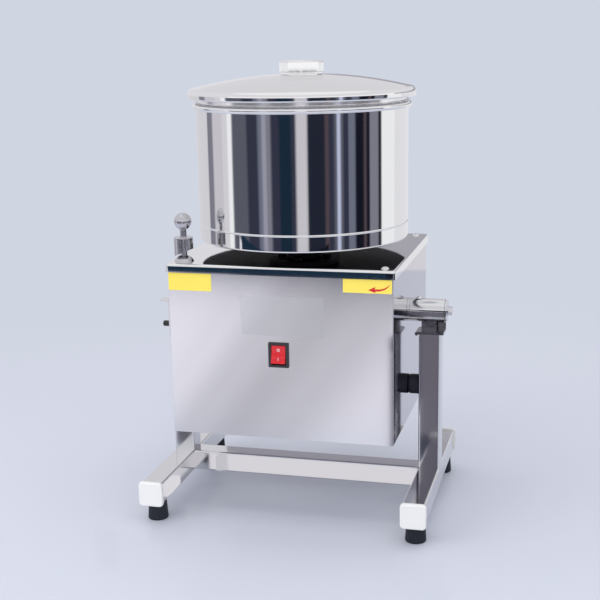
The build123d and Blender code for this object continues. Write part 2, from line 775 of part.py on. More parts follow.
# Deck under the cover, which carries the spindle's bearings.
screw_x = body_width / 2 - screw_inset
screw_y = body_depth / 2 - screw_inset
cover_screws_at = [(screw_x, body_y - screw_y), (screw_x, body_y + screw_y), (-screw_x, body_y + screw_y)]
bolt_turns = [radians((i + 1 / 2) * 360 / bolt_count) for i in range(bolt_count)]
bearing_bolts_at = [
    (bearing_bolt_circle * cos(turn), body_y + bearing_bolt_circle * sin(turn)) for turn in bolt_turns
]
with BuildPart() as deck_plate:
    with BuildSketch(Plane.XY.offset(wall_top)):
        with Locations((0, body_y)):
            Rectangle(body_width, body_depth)
            Circle(deck_hole, mode=Mode.SUBTRACT)
        with Locations(*bearing_bolts_at):
            Circle(bearing_bolt_radius, mode=Mode.SUBTRACT)
        with Locations(*cover_screws_at):
            Circle(screw_radius, mode=Mode.SUBTRACT)
        with Locations((post_x, post_y)):
            Circle(post_screw_radius, mode=Mode.SUBTRACT)
    extrude(amount=deck_thickness)
    deck_rim = deck_plate.edges().group_by(Axis.Z)[-1].filter_by(GeomType.LINE)
    chamfer(deck_rim, deck_bevel)
deck_plate.part.label = "deck_plate"
export_step(deck_plate.part, "parts/deck_plate.step")

# Polished top cover: a shallow tray turned upside down, with softly bent edges.
with BuildPart() as top_cover:
    with BuildSketch(Plane.XY.offset(cover_top - cover_skirt)):
        with Locations((0, body_y)):
            Rectangle(body_width + 2 * cover_overhang, body_depth + 2 * cover_overhang)
    extrude(amount=cover_skirt)
    fillet(top_cover.edges().filter_by(Axis.Z), cover_corner)
    fillet(top_cover.faces().sort_by(Axis.Z)[-1].edges(), cover_bend)
    offset(amount=-sheet, openings=top_cover.faces().sort_by(Axis.Z)[0])
    with BuildSketch(Plane.XY.offset(cover_top - sheet - overrun)):
        with Locations((0, body_y)):
            Circle(cover_hole)
        with Locations(*cover_screws_at):
            Circle(screw_radius)
        with Locations((post_x, post_y)):
            Circle(post_screw_radius)
    extrude(amount=sheet + 2 * overrun, mode=Mode.SUBTRACT)
top_cover.part.label = "top_cover"
export_step(top_cover.part, "parts/top_cover.step")

# Domed screws: three in the cover, six in the back panel.
dome_radius = (screw_head_radius**2 + screw_head_height**2) / (2 * screw_head_height)
back_screw_z = (body_bottom + screw_inset, body_bottom + wall_height / 2, wall_top - screw_inset)
with BuildPart() as panel_screws:
    for screw_place_x, screw_place_y in cover_screws_at:
        with BuildSketch(upright(screw_place_x, screw_place_y)):
            with BuildLine():
                Polyline(
                    (0, cover_top + screw_head_height),
                    (0, cover_top - screw_length),
                    (screw_radius, cover_top - screw_length),
                    (screw_radius, cover_top),
                    (screw_head_radius, cover_top),
                )
                RadiusArc((0, cover_top + screw_head_height), (screw_head_radius, cover_top), dome_radius)
            make_face()
        revolve(axis=Axis((screw_place_x, screw_place_y, 0), (0, 0, 1)))
    for side, hand in sides:
        for screw_z in back_screw_z:
            screw_place_x = side * (wall_x - panel_flange / 2)
            screw_seat = (screw_place_x, back_y, screw_z)
            with BuildSketch(Plane(origin=screw_seat, x_dir=(1, 0, 0), z_dir=(0, 0, 1))):
                with BuildLine():
                    Line((0, screw_head_height), (0, 0))
                    Line((0, 0), (screw_head_radius, 0))
                    RadiusArc((0, screw_head_height), (screw_head_radius, 0), dome_radius)
                make_face()
            revolve(axis=Axis(screw_seat, (0, 1, 0)))
panel_screws.part.label = "panel_screws"
export_step(panel_screws.part, "parts/panel_screws.step")

# Tilting shafts: each is welded to a flange inside the housing's wall.
flange_face = wall_x - sheet - flange_thickness
with BuildPart() as pivot_shafts:
    for side, hand in sides:
        with BuildSketch(outward(side, flange_face, pivot_y, pivot_z)):
            RectangleRounded(flange_size, flange_size, flange_corner)
        extrude(amount=flange_thickness)
        with BuildSketch(outward(side, flange_face, pivot_y, pivot_z)):
            Circle(shaft_radius)
        extrude(amount=shaft_ends[side] - flange_face)
    with BuildSketch(outward(1, shaft_ends[1] - pivot_bolt_length, pivot_y, pivot_z)):
        Circle(pivot_bolt_radius)
    extrude(amount=pivot_bolt_length + overrun, mode=Mode.SUBTRACT)
pivot_shafts.part.label = "pivot_shafts"
export_step(pivot_shafts.part, "parts/pivot_shafts.step")

# Washers: one between each wall and its sleeve, one under the bolt at the right-hand end.
with BuildPart() as pivot_washers:
    for side, hand in sides:
        with BuildSketch(outward(side, wall_x, pivot_y, pivot_z)):
            Circle(sleeve_radius - panel_slack)
            Circle(shaft_radius + running_fit, mode=Mode.SUBTRACT)
        extrude(amount=sleeve_gap - body_clearance)
    with BuildSketch(outward(1, shaft_ends[1], pivot_y, pivot_z)):
        Circle(pivot_washer_radius)
        Circle(pivot_bolt_radius + hole_slack, mode=Mode.SUBTRACT)
    extrude(amount=pivot_washer_thickness)
pivot_washers.part.label = "pivot_washers"
export_step(pivot_washers.part, "parts/pivot_washers.step")

bolt_seat = shaft_ends[1] + pivot_washer_thickness
with BuildPart() as pivot_bolt:
    with BuildSketch(outward(1, shaft_ends[1] - pivot_bolt_length + overrun, pivot_y, pivot_z)):
        Circle(pivot_bolt_radius)
    extrude(amount=pivot_washer_thickness + pivot_bolt_length - overrun)
    with BuildSketch(outward(1, bolt_seat, pivot_y, pivot_z)):
        Circle(pivot_bolt_collar_radius)
    extrude(amount=pivot_bolt_collar)
    with BuildSketch(outward(1, bolt_seat + pivot_bolt_collar, pivot_y, pivot_z)):
        RegularPolygon(pivot_bolt_across / 2, 6, major_radius=False)
    extrude(amount=pivot_bolt_head)
pivot_bolt.part.label = "pivot_bolt"
export_step(pivot_bolt.part, "parts/pivot_bolt.step")

# Bearing housing hung under the deck: flange above, barrel below, a pocket for each bearing.
upper_bearing = wall_top - barrel_flange - bearing_width
lower_bearing = barrel_bottom + barrel_lip
with BuildPart() as bearing_housing:
    with BuildSketch(drum_plane):
        with BuildLine():
            Polyline(
                (bearing_radius, barrel_bottom),
                (barrel_radius, barrel_bottom),
                (barrel_radius, wall_top - barrel_flange),
                (barrel_flange_radius, wall_top - barrel_flange),
                (barrel_flange_radius, wall_top),
                (bearing_radius, wall_top),
                (bearing_radius, upper_bearing),
                (barrel_shoulder, upper_bearing),
                (barrel_shoulder, lower_bearing + bearing_width),
                (bearing_radius, lower_bearing + bearing_width),
                close=True,
            )
        make_face()
    revolve(axis=drum_axis)
    with BuildSketch(Plane.XY.offset(wall_top - barrel_flange - overrun)):
        with Locations(*bearing_bolts_at):
            Circle(bearing_bolt_radius + hole_slack)
    extrude(amount=barrel_flange + 2 * overrun, mode=Mode.SUBTRACT)
bearing_housing.part.label = "bearing_housing"
export_step(bearing_housing.part, "parts/bearing_housing.step")

with BuildPart() as spindle_bearings:
    for bearing_low in (lower_bearing, upper_bearing):
        bearing_high = bearing_low + bearing_width
        inner_race = shaft_radius + running_fit + bearing_race
        outer_race = bearing_radius - bearing_race
        with BuildSketch(drum_plane):
            with BuildLine():
                Polyline(
                    (shaft_radius + running_fit, bearing_low),
                    (inner_race, bearing_low),
                    (inner_race, bearing_low + bearing_groove),
                    (outer_race, bearing_low + bearing_groove),
                    (outer_race, bearing_low),
                    (bearing_radius, bearing_low),
                    (bearing_radius, bearing_high),
                    (outer_race, bearing_high),
                    (outer_race, bearing_high - bearing_groove),
                    (inner_race, bearing_high - bearing_groove),
                    (inner_race, bearing_high),
                    (shaft_radius + running_fit, bearing_high),
                    close=True,
                )
            make_face()
        revolve(axis=drum_axis)
spindle_bearings.part.label = "spindle_bearings"
export_step(spindle_bearings.part, "parts/spindle_bearings.step")

with BuildPart() as bearing_bolts:
    for bolt_x, bolt_y in bearing_bolts_at:
        with BuildSketch(Plane.XY.offset(wall_top - barrel_flange - bearing_bolt_head)):
            with Locations((bolt_x, bolt_y)):
                RegularPolygon(bearing_bolt_across / 2, 6, major_radius=False)
        extrude(amount=bearing_bolt_head)
        with BuildSketch(Plane.XY.offset(wall_top - barrel_flange)):
            with Locations((bolt_x, bolt_y)):
                Circle(bearing_bolt_radius)
        extrude(amount=barrel_flange + deck_thickness)
bearing_bolts.part.label = "bearing_bolts"
export_step(bearing_bolts.part, "parts/bearing_bolts.step")

# Motor plate, motor and its bolts.
with BuildPart() as motor_plate:
    with BuildSketch(Plane.XY.offset(body_bottom + sheet)):
        with Locations((motor_x, motor_y)):
            Rectangle(motor_plate_size, motor_plate_size)
        with Locations(*motor_bolts_at):
            Circle(motor_bolt_radius + hole_slack, mode=Mode.SUBTRACT)
    extrude(amount=motor_plate_thickness)
motor_plate.part.label = "motor_plate"
export_step(motor_plate.part, "parts/motor_plate.step")

with BuildPart() as motor_body:
    with BuildSketch(upright(motor_x, motor_y)):
        with BuildLine():
            Polyline(
                (0, motor_bottom + motor_flange),
                (motor_radius - motor_waist, motor_bottom + motor_flange),
                (motor_radius - motor_waist, motor_bottom + motor_bell),
                (motor_radius, motor_bottom + motor_bell),
                (motor_radius, motor_top - motor_bell),
                (motor_radius - motor_waist, motor_top - motor_bell),
                (motor_radius - motor_waist, motor_top - motor_nose),
                (motor_nose_radius, motor_top - motor_nose),
                (motor_nose_radius, motor_top),
                (0, motor_top),
                close=True,
            )
        make_face()
    revolve(axis=Axis((motor_x, motor_y, 0), (0, 0, 1)))
    with BuildSketch(Plane.XY.offset(motor_bottom)):
        with Locations((motor_x, motor_y)):
            RectangleRounded(motor_flange_size, motor_flange_size, motor_flange)
        with Locations(*motor_bolts_at):
            Circle(motor_bolt_radius + hole_slack, mode=Mode.SUBTRACT)
    extrude(amount=motor_flange)
    with BuildSketch(Plane.XY.offset(motor_top - motor_shaft_depth)):
        with Locations((motor_x, motor_y)):
            Circle(motor_shaft_radius + running_fit)
    extrude(amount=motor_shaft_depth + overrun, mode=Mode.SUBTRACT)
motor_body.part.label = "motor_body"
export_step(motor_body.part, "parts/motor_body.step")

with BuildPart() as motor_bolts:
    for bolt_x, bolt_y in motor_bolts_at:
        with BuildSketch(Plane.XY.offset(body_bottom - motor_bolt_head)):
            with Locations((bolt_x, bolt_y)):
                RegularPolygon(motor_bolt_across / 2, 6, major_radius=False)
        extrude(amount=motor_bolt_head)
        with BuildSketch(Plane.XY.offset(body_bottom)):
            with Locations((bolt_x, bolt_y)):
                Circle(motor_bolt_radius)
        extrude(amount=sheet + motor_plate_thickness + motor_flange + motor_bolt_reach)
motor_bolts.part.label = "motor_bolts"
export_step(motor_bolts.part, "parts/motor_bolts.step")

# Motor shaft and its grooved pulley.
groove_half = belt_width / 2
pulley_low = pulley_z - pulley_width / 2
pulley_high = pulley_z + pulley_width / 2
with BuildPart() as motor_shaft:
    with BuildSketch(Plane.XY.offset(motor_top - motor_shaft_depth + body_clearance)):
        with Locations((motor_x, motor_y)):
            Circle(motor_shaft_radius)
    extrude(amount=pulley_high + motor_pulley_top - motor_top + motor_shaft_depth - body_clearance)
motor_shaft.part.label = "motor_shaft"
export_step(motor_shaft.part, "parts/motor_shaft.step")


def grooved_rim(radius, inner):
    """Half section of a pulley's rim whose groove leaves the belt a running gap, as outline points."""
    slope = belt_narrowing / belt_depth
    root = radius - belt_depth - body_clearance
    at_rim = groove_half + body_clearance
    at_root = at_rim - slope * (radius - root)
    return [
        (inner, pulley_low),
        (radius, pulley_low),
        (radius, pulley_z - at_rim),
        (root, pulley_z - at_root),
        (root, pulley_z + at_root),
        (radius, pulley_z + at_rim),
        (radius, pulley_high),
        (inner, pulley_high),
    ]


with BuildPart() as motor_pulley:
    with BuildSketch(upright(motor_x, motor_y)):
        with BuildLine():
            Polyline(*grooved_rim(motor_pulley_radius, motor_shaft_radius), close=True)
        make_face()
    revolve(axis=Axis((motor_x, motor_y, 0), (0, 0, 1)))
motor_pulley.part.label = "motor_pulley"
export_step(motor_pulley.part, "parts/motor_pulley.step")

# Belt: a wedge-shaped section carried round both pulleys.
big_centre = Vector(0, body_y, pulley_z)
small_centre = Vector(motor_x, motor_y, pulley_z)
along = (small_centre - big_centre).normalized()
span = (small_centre - big_centre).length
belt_big = pulley_radius - belt_depth
belt_small = motor_pulley_radius - belt_depth
lean = (belt_big - belt_small) / span
rise = (1 - lean**2) ** 0.5
left_normal = Vector(along.X * lean - along.Y * rise, along.Y * lean + along.X * rise, 0)
right_normal = Vector(along.X * lean + along.Y * rise, along.Y * lean - along.X * rise, 0)
with BuildPart() as drive_belt:
    with BuildLine() as belt_path:
        big_first = big_centre + right_normal * belt_big
        big_second = big_centre + left_normal * belt_big
        small_first = small_centre + right_normal * belt_small
        small_second = small_centre + left_normal * belt_small
        Line(big_first, small_first)
        ThreePointArc(small_first, small_centre + along * belt_small, small_second)
        Line(small_second, big_second)
        ThreePointArc(big_second, big_centre - along * belt_big, big_first)
    with BuildSketch(Plane(origin=big_first, x_dir=right_normal, z_dir=small_first - big_first)):
        with BuildLine():
            Polyline(
                (0, groove_half - belt_narrowing),
                (belt_depth, groove_half),
                (belt_depth, -groove_half),
                (0, -groove_half + belt_narrowing),
                close=True,
            )
        make_face()
    sweep(path=belt_path.line)
drive_belt.part.label = "drive_belt"
export_step(drive_belt.part, "parts/drive_belt.step")

# Start capacitor, standing on the bottom plate.
capacitor_x = wall_x - capacitor_from_right
capacitor_y = front_y + capacitor_from_front
capacitor_low = body_bottom + sheet
with BuildPart() as capacitor:
    with BuildSketch(Plane.XY.offset(capacitor_low)):
        with Locations((capacitor_x, capacitor_y)):
            Circle(capacitor_radius)
    extrude(amount=capacitor_height)
    fillet(capacitor.edges().filter_by(GeomType.CIRCLE).sort_by(Axis.Z)[-1], capacitor_bead)
    with BuildSketch(Plane.XY.offset(capacitor_low)):
        with Locations((capacitor_x, capacitor_y)):
            Circle(capacitor_radius + capacitor_bead)
    extrude(amount=capacitor_base)
    with BuildSketch(Plane.XY.offset(capacitor_low + capacitor_height)):
        with Locations(*[(capacitor_x + s * lug_pitch, capacitor_y) for s in (-1, 1)]):
            Rectangle(lug_thickness, lug_width)
    extrude(amount=lug_length)
capacitor.part.label = "capacitor"
export_step(capacitor.part, "parts/capacitor.step")

# Rocker switch: a bezel with a deep body, a recess for the rocker and holes for its pins.
axis_y = bezel_face + rocker_axis_depth
with BuildPart() as switch_frame:
    with BuildSketch(Plane.XZ.offset(-front_y)):
        with Locations((switch_x, switch_z)):
            RectangleRounded(bezel_width, bezel_height, bezel_round)
    extrude(amount=bezel_proud)
    fillet(switch_frame.faces().sort_by(Axis.Y)[0].edges(), bezel_round / 2)
    with BuildSketch(Plane.XZ.offset(-front_y - switch_body_depth)):
        with Locations((switch_x, switch_z)):
            Rectangle(switch_body_width, switch_body_height)
    extrude(amount=switch_body_depth)
    with BuildSketch(Plane.XZ.offset(-bezel_face - switch_recess_depth)):
        with Locations((switch_x, switch_z)):
            Rectangle(rocker_width + 2 * switch_recess_slack, switch_recess_height)
    extrude(amount=switch_recess_depth + overrun, mode=Mode.SUBTRACT)
    with BuildSketch(Plane.YZ.offset(switch_x)):
        with Locations((axis_y, switch_z)):
            Circle(rocker_pin_radius + running_fit)
    pin_reach = rocker_width / 2 + rocker_pin_length + running_fit
    extrude(amount=pin_reach, both=True, mode=Mode.SUBTRACT)
    with BuildSketch(Plane.XZ.offset(-front_y - switch_body_depth - lug_length)):
        with Locations(*[(switch_x, switch_z + i * lug_pitch) for i in (-1, 0, 1)]):
            Rectangle(lug_width, lug_thickness)
    extrude(amount=lug_length)
switch_frame.part.label = "switch_frame"
export_step(switch_frame.part, "parts/switch_frame.step")

# Rocker, at rest with its upper end pressed in.
tilt = radians(rocker_tilt)
rocker_plane = Plane(
    origin=(switch_x, axis_y, switch_z), x_dir=(0, -cos(tilt), sin(tilt)), z_dir=(-1, 0, 0)
)
with BuildPart() as switch_rocker:
    with BuildSketch(rocker_plane):
        with BuildLine():
            Polyline(
                (rocker_proud, -rocker_height / 2),
                (rocker_proud - rocker_dip, 0),
                (rocker_proud, rocker_height / 2),
                (0, rocker_height / 2),
                (-rocker_back, rocker_back_height / 2),
                (-rocker_back, -rocker_back_height / 2),
                (0, -rocker_height / 2),
                close=True,
            )
        make_face()
    extrude(amount=rocker_width / 2, both=True)
    with BuildSketch(rocker_plane):
        Circle(rocker_pin_radius)
    extrude(amount=rocker_width / 2 + rocker_pin_length, both=True)
switch_rocker.part.label = "switch_rocker"
export_step(switch_rocker.part, "parts/switch_rocker.step")

# Cable gland through the back panel.
gland_axis = Axis((gland_x, back_y, gland_z), (0, 1, 0))
gland_plane = Plane(origin=(gland_x, back_y, gland_z), x_dir=(1, 0, 0), z_dir=(0, 0, 1))
with BuildPart() as cable_gland:
    with BuildSketch(gland_plane):
        with BuildLine():
            Polyline(
                (gland_bore, -gland_tail),
                (gland_thread_radius, -gland_tail),
                (gland_thread_radius, 0),
                (gland_flange_radius, 0),
                (gland_flange_radius, gland_flange),
                (gland_nose_radius + sheet, gland_flange),
                (gland_nose_radius, gland_nose),
                (gland_bore, gland_nose),
                close=True,
            )
        make_face()
    revolve(axis=gland_axis)
cable_gland.part.label = "cable_gland"
export_step(cable_gland.part, "parts/cable_gland.step")

# Latch post: a domed foot, a rod with a shoulder, and a head inside the sleeve that holds the spring.
sleeve_low = cover_top + sleeve_low_above_cover
sleeve_high = sleeve_low + latch_height
ledge_low = sleeve_low + sleeve_bevel_rise + latch_ledge_above_bevel
ledge_high = ledge_low + latch_ledge
chamber_top = sleeve_high - latch_roof
head_top = chamber_top - body_clearance
head_low = head_top - post_head
post_dome = (post_dome_radius**2 + post_dome_height**2) / (2 * post_dome_height)
post_axis = Axis((post_x, post_y, 0), (0, 0, 1))
with BuildPart() as latch_post:
    with BuildSketch(upright(post_x, post_y)):
        with BuildLine():
            Polyline(
                (0, cover_top + post_dome_height),
                (0, cover_top - post_screw_length),
                (post_screw_radius, cover_top - post_screw_length),
                (post_screw_radius, cover_top),
                (post_dome_radius, cover_top),
            )
            RadiusArc((0, cover_top + post_dome_height), (post_dome_radius, cover_top), post_dome)
        make_face()
    revolve(axis=post_axis)
    with BuildSketch(upright(post_x, post_y)):
        with BuildLine():
            Polyline(
                (0, cover_top),
                (post_radius, cover_top),
                (post_radius, ledge_low - body_clearance),
                (post_neck_radius, ledge_low - body_clearance),
                (post_neck_radius, head_low),
                (post_head_radius, head_low),
                (post_head_radius, head_top),
                (0, head_top),
                close=True,
            )
        make_face()
    revolve(axis=post_axis)
latch_post.part.label = "latch_post"
export_step(latch_post.part, "parts/latch_post.step")

# Sliding sleeve with its bevelled end, neck and ball.
ball_z = sleeve_high + latch_ball_above_sleeve
with BuildPart() as latch_sleeve:
    with BuildSketch(Plane.XY.offset(sleeve_low)):
        with Locations((post_x, post_y)):
            Circle(latch_radius)
    extrude(amount=latch_height)
    fillet(latch_sleeve.edges().filter_by(GeomType.CIRCLE).sort_by(Axis.Z)[-1], latch_top_round)
    with BuildSketch(Plane.XY.offset(sleeve_high - overrun)):
        with Locations((post_x, post_y)):
            Circle(latch_neck_radius)
    extrude(amount=latch_ball_above_sleeve + overrun)
    with BuildSketch(upright(post_x, post_y)):
        with BuildLine():
            CenterArc((0, ball_z), latch_ball_radius, -90, 180)
            Line((0, ball_z - latch_ball_radius), (0, ball_z + latch_ball_radius))
        make_face()
    revolve(axis=post_axis)
    with BuildSketch(upright(post_x, post_y)):
        with BuildLine():
            Polyline(
                (-latch_radius - overrun, sleeve_low - overrun),
                (-latch_radius - overrun, sleeve_low),
                (-latch_radius, sleeve_low),
                (latch_radius, sleeve_low + sleeve_bevel_rise),
                (latch_radius + overrun, sleeve_low + sleeve_bevel_rise),
                (latch_radius + overrun, sleeve_low - overrun),
                close=True,
            )
        make_face()
    extrude(amount=latch_radius + overrun, both=True, mode=Mode.SUBTRACT)
    with BuildSketch(upright(post_x, post_y)):
        with BuildLine():
            Polyline(
                (0, sleeve_low - overrun),
                (post_radius + latch_bore_slack, sleeve_low - overrun),
                (post_radius + latch_bore_slack, ledge_low),
                (post_neck_radius + latch_bore_slack, ledge_low),
                (post_neck_radius + latch_bore_slack, ledge_high),
                (latch_chamber_radius, ledge_high),
                (latch_chamber_radius, chamber_top),
                (0, chamber_top),
                close=True,
            )
        make_face()
    revolve(axis=post_axis, mode=Mode.SUBTRACT)
latch_sleeve.part.label = "latch_sleeve"
export_step(latch_sleeve.part, "parts/latch_sleeve.step")

latch_spring_low = ledge_high + latch_spring_wire + weld_gap
latch_spring_room = head_low - latch_spring_wire - weld_gap - latch_spring_low
with BuildPart() as latch_spring:
    with BuildLine() as latch_coil:
        Helix(
            pitch=latch_spring_room / latch_spring_turns,
            height=latch_spring_room,
            radius=latch_spring_radius,
            center=(post_x, post_y, latch_spring_low),
        )
    with BuildSketch(Plane(origin=latch_coil.line @ 0, z_dir=latch_coil.line % 0)):
        Circle(latch_spring_wire)
    sweep(is_frenet=True)
latch_spring.part.label = "latch_spring"
export_step(latch_spring.part, "parts/latch_spring.step")

# Drum: floor, wall, raised ring and wired rim in one spun section.
hub_bolts_at = [
    (hub_bolt_circle * cos(radians(90 * i)), body_y + hub_bolt_circle * sin(radians(90 * i)))
    for i in range(bolt_count)
]
with BuildPart() as drum_shell:
    with BuildSketch(drum_plane):
        with BuildLine():
            Polyline(
                (0, drum_bottom),
                (drum_radius, drum_bottom),
                (drum_radius, rim_z),
                (drum_inner_radius, rim_z),
                (drum_inner_radius, floor_top),
                (0, floor_top),
                close=True,
            )
        make_face()
        fillet(vertices().group_by(Axis.Y)[0].sort_by(Axis.X)[-1], drum_corner)
        with Locations((rim_roll_centre, rim_z)):
            Circle(rim_roll_radius)
        with Locations((drum_radius, drum_bottom + ring_above_bottom)):
            Circle(ring_roll_radius)
    revolve(axis=drum_axis)
    with BuildSketch(Plane.XY.offset(drum_bottom - overrun)):
        with Locations(*hub_bolts_at):
            Circle(hub_bolt_radius + hole_slack)
    extrude(amount=drum_floor + 2 * overrun, mode=Mode.SUBTRACT)
drum_shell.part.label = "drum_shell"
export_step(drum_shell.part, "parts/drum_shell.step")

# Hub under the drum, on the spindle's top.
spindle_top = drum_bottom - spindle_top_inset
with BuildPart() as drum_hub:
    with BuildSketch(drum_plane):
        with BuildLine():
            Polyline(
                (shaft_radius, hub_boss_bottom),
                (hub_boss_radius, hub_boss_bottom),
                (hub_boss_radius, drum_bottom - hub_plate),
                (hub_radius, drum_bottom - hub_plate),
                (hub_radius, drum_bottom),
                (shaft_radius, drum_bottom),
                close=True,
            )
        make_face()
    revolve(axis=drum_axis)
    with BuildSketch(Plane.XY.offset(drum_bottom - hub_plate - overrun)):
        with Locations(*hub_bolts_at):
            Circle(hub_bolt_radius + hole_slack)
    extrude(amount=hub_plate + 2 * overrun, mode=Mode.SUBTRACT)
drum_hub.part.label = "drum_hub"
export_step(drum_hub.part, "parts/drum_hub.step")

with BuildPart() as spindle:
    with BuildSketch(drum_plane):
        with BuildLine():
            Polyline(
                (0, pulley_hub_bottom - spindle_thread),
                (spindle_thread_radius, pulley_hub_bottom - spindle_thread),
                (spindle_thread_radius, pulley_hub_bottom),
                (shaft_radius, pulley_hub_bottom),
                (shaft_radius, upper_bearing + bearing_width + body_clearance),
                (spindle_collar_radius, upper_bearing + bearing_width + body_clearance),
                (spindle_collar_radius, hub_boss_bottom),
                (shaft_radius, hub_boss_bottom),
                (shaft_radius, spindle_top),
                (0, spindle_top),
                close=True,
            )
        make_face()
    revolve(axis=drum_axis)
spindle.part.label = "spindle"
export_step(spindle.part, "parts/spindle.step")

# Large pulley: grooved rim, thin web with round windows, and a hub.
with BuildPart() as drum_pulley:
    with BuildSketch(drum_plane):
        with BuildLine():
            Polyline(*grooved_rim(pulley_radius, pulley_radius - pulley_rim), close=True)
        make_face()
        with Locations((pulley_hub_radius + pulley_web_width / 2, pulley_z)):
            Rectangle(pulley_web_width + overrun, pulley_web)
        with Locations(((shaft_radius + pulley_hub_radius) / 2, (pulley_hub_bottom + pulley_hub_top) / 2)):
            Rectangle(pulley_hub_radius - shaft_radius, pulley_hub_top - pulley_hub_bottom)
    revolve(axis=drum_axis)
    with BuildSketch(Plane.XY.offset(pulley_z)):
        with Locations((0, body_y)):
            with PolarLocations(pulley_hub_radius + pulley_web_width / 2, pulley_hole_count):
                Circle(pulley_hole_share * pulley_web_width / 2)
    extrude(amount=pulley_width, both=True, mode=Mode.SUBTRACT)
drum_pulley.part.label = "drum_pulley"
export_step(drum_pulley.part, "parts/drum_pulley.step")

with BuildPart() as spindle_nut:
    with BuildSketch(Plane.XY.offset(pulley_hub_bottom - spindle_nut_height)):
        with Locations((0, body_y)):
            RegularPolygon(spindle_nut_across / 2, 6, major_radius=False)
            Circle(spindle_thread_radius, mode=Mode.SUBTRACT)
    extrude(amount=spindle_nut_height)
spindle_nut.part.label = "spindle_nut"
export_step(spindle_nut.part, "parts/spindle_nut.step")

with BuildPart() as hub_bolts:
    for bolt_x, bolt_y in hub_bolts_at:
        with BuildSketch(Plane.XY.offset(drum_bottom - hub_plate - hub_bolt_head)):
            with Locations((bolt_x, bolt_y)):
                RegularPolygon(hub_bolt_across / 2, 6, major_radius=False)
        extrude(amount=hub_bolt_head)
        with BuildSketch(Plane.XY.offset(drum_bottom - hub_plate)):
            with Locations((bolt_x, bolt_y)):
                Circle(hub_bolt_radius)
        extrude(amount=hub_plate + drum_floor + pin_flange - panel_slack)
hub_bolts.part.label = "hub_bolts"
export_step(hub_bolts.part, "parts/hub_bolts.step")

# Centre pin, bolted down under the base stone.
with BuildPart() as stone_pin:
    with BuildSketch(Plane.XY.offset(floor_top)):
        with Locations((0, body_y)):
            Circle(pin_flange_radius)
        with Locations(*hub_bolts_at):
            Circle(hub_bolt_radius, mode=Mode.SUBTRACT)
    extrude(amount=pin_flange)
    with BuildSketch(Plane.XY.offset(floor_top + pin_flange)):
        with Locations((0, body_y)):
            Circle(pin_radius)
    extrude(amount=pin_height - pin_flange)
    chamfer(stone_pin.edges().filter_by(GeomType.CIRCLE).sort_by(Axis.Z)[-1], pin_radius / 6)
stone_pin.part.label = "stone_pin"
export_step(stone_pin.part, "parts/stone_pin.step")

stone_radius = drum_inner_radius - stone_slack
with BuildPart() as base_stone:
    with BuildSketch(drum_plane):
        with BuildLine():
            Polyline(
                (pin_radius + panel_slack, floor_top + pin_flange + panel_slack),
                (pin_flange_radius + panel_slack, floor_top + pin_flange + panel_slack),
                (pin_flange_radius + panel_slack, floor_top),
                (stone_radius, floor_top),
                (stone_radius, stone_top - stone_edge),
                (stone_radius - stone_edge, stone_top),
                (pin_radius + panel_slack, stone_top),
                close=True,
            )
        make_face()
    revolve(axis=drum_axis)
base_stone.part.label = "base_stone"
export_step(base_stone.part, "parts/base_stone.step")

# Yoke: a hub that turns on the centre pin, with an axle and a retaining cap on each side.
pin_top = floor_top + pin_height
hub_low = axle_z - yoke_hub_below
hub_high = axle_z + yoke_hub_above
roller_outer = roller_inner + roller_length
axle_end = roller_outer + body_clearance
with BuildPart() as roller_yoke:
    with BuildSketch(Plane.XY.offset(hub_low)):
        with Locations((0, body_y)):
            Circle(yoke_hub_radius)
    extrude(amount=hub_high - hub_low)
    fillet(roller_yoke.edges().filter_by(GeomType.CIRCLE), yoke_hub_round)
    for side, hand in sides:
        with BuildSketch(outward(side, pin_radius + yoke_hub_round, body_y, axle_z)):
            Circle(axle_radius)
        extrude(amount=axle_end - pin_radius - yoke_hub_round)
        with BuildSketch(outward(side, axle_end, body_y, axle_z)):
            Circle(axle_cap_radius)
        extrude(amount=axle_cap_thickness)
    cap_edges = roller_yoke.edges().filter_by(GeomType.CIRCLE).sort_by(Axis.X)
    fillet([cap_edges[0], cap_edges[-1]], axle_cap_round)
    with BuildSketch(Plane.XY.offset(hub_low - overrun)):
        with Locations((0, body_y)):
            Circle(pin_radius + running_fit)
    extrude(amount=pin_top + yoke_end_gap - hub_low + overrun, mode=Mode.SUBTRACT)
roller_yoke.part.label = "roller_yoke"
export_step(roller_yoke.part, "parts/roller_yoke.step")

for side, hand in sides:
    with BuildPart() as roller_stone:
        with BuildSketch(outward(side, roller_inner, body_y, axle_z)):
            Circle(roller_radius)
        extrude(amount=roller_length)
        fillet(roller_stone.edges().filter_by(GeomType.CIRCLE), roller_edge)
        with BuildSketch(outward(side, roller_inner - overrun, body_y, axle_z)):
            Circle(axle_radius + running_fit)
        extrude(amount=roller_length + 2 * overrun, mode=Mode.SUBTRACT)
    roller_stone.part.label = "roller_stone_" + hand
    export_step(roller_stone.part, "parts/roller_stone_" + hand + ".step")

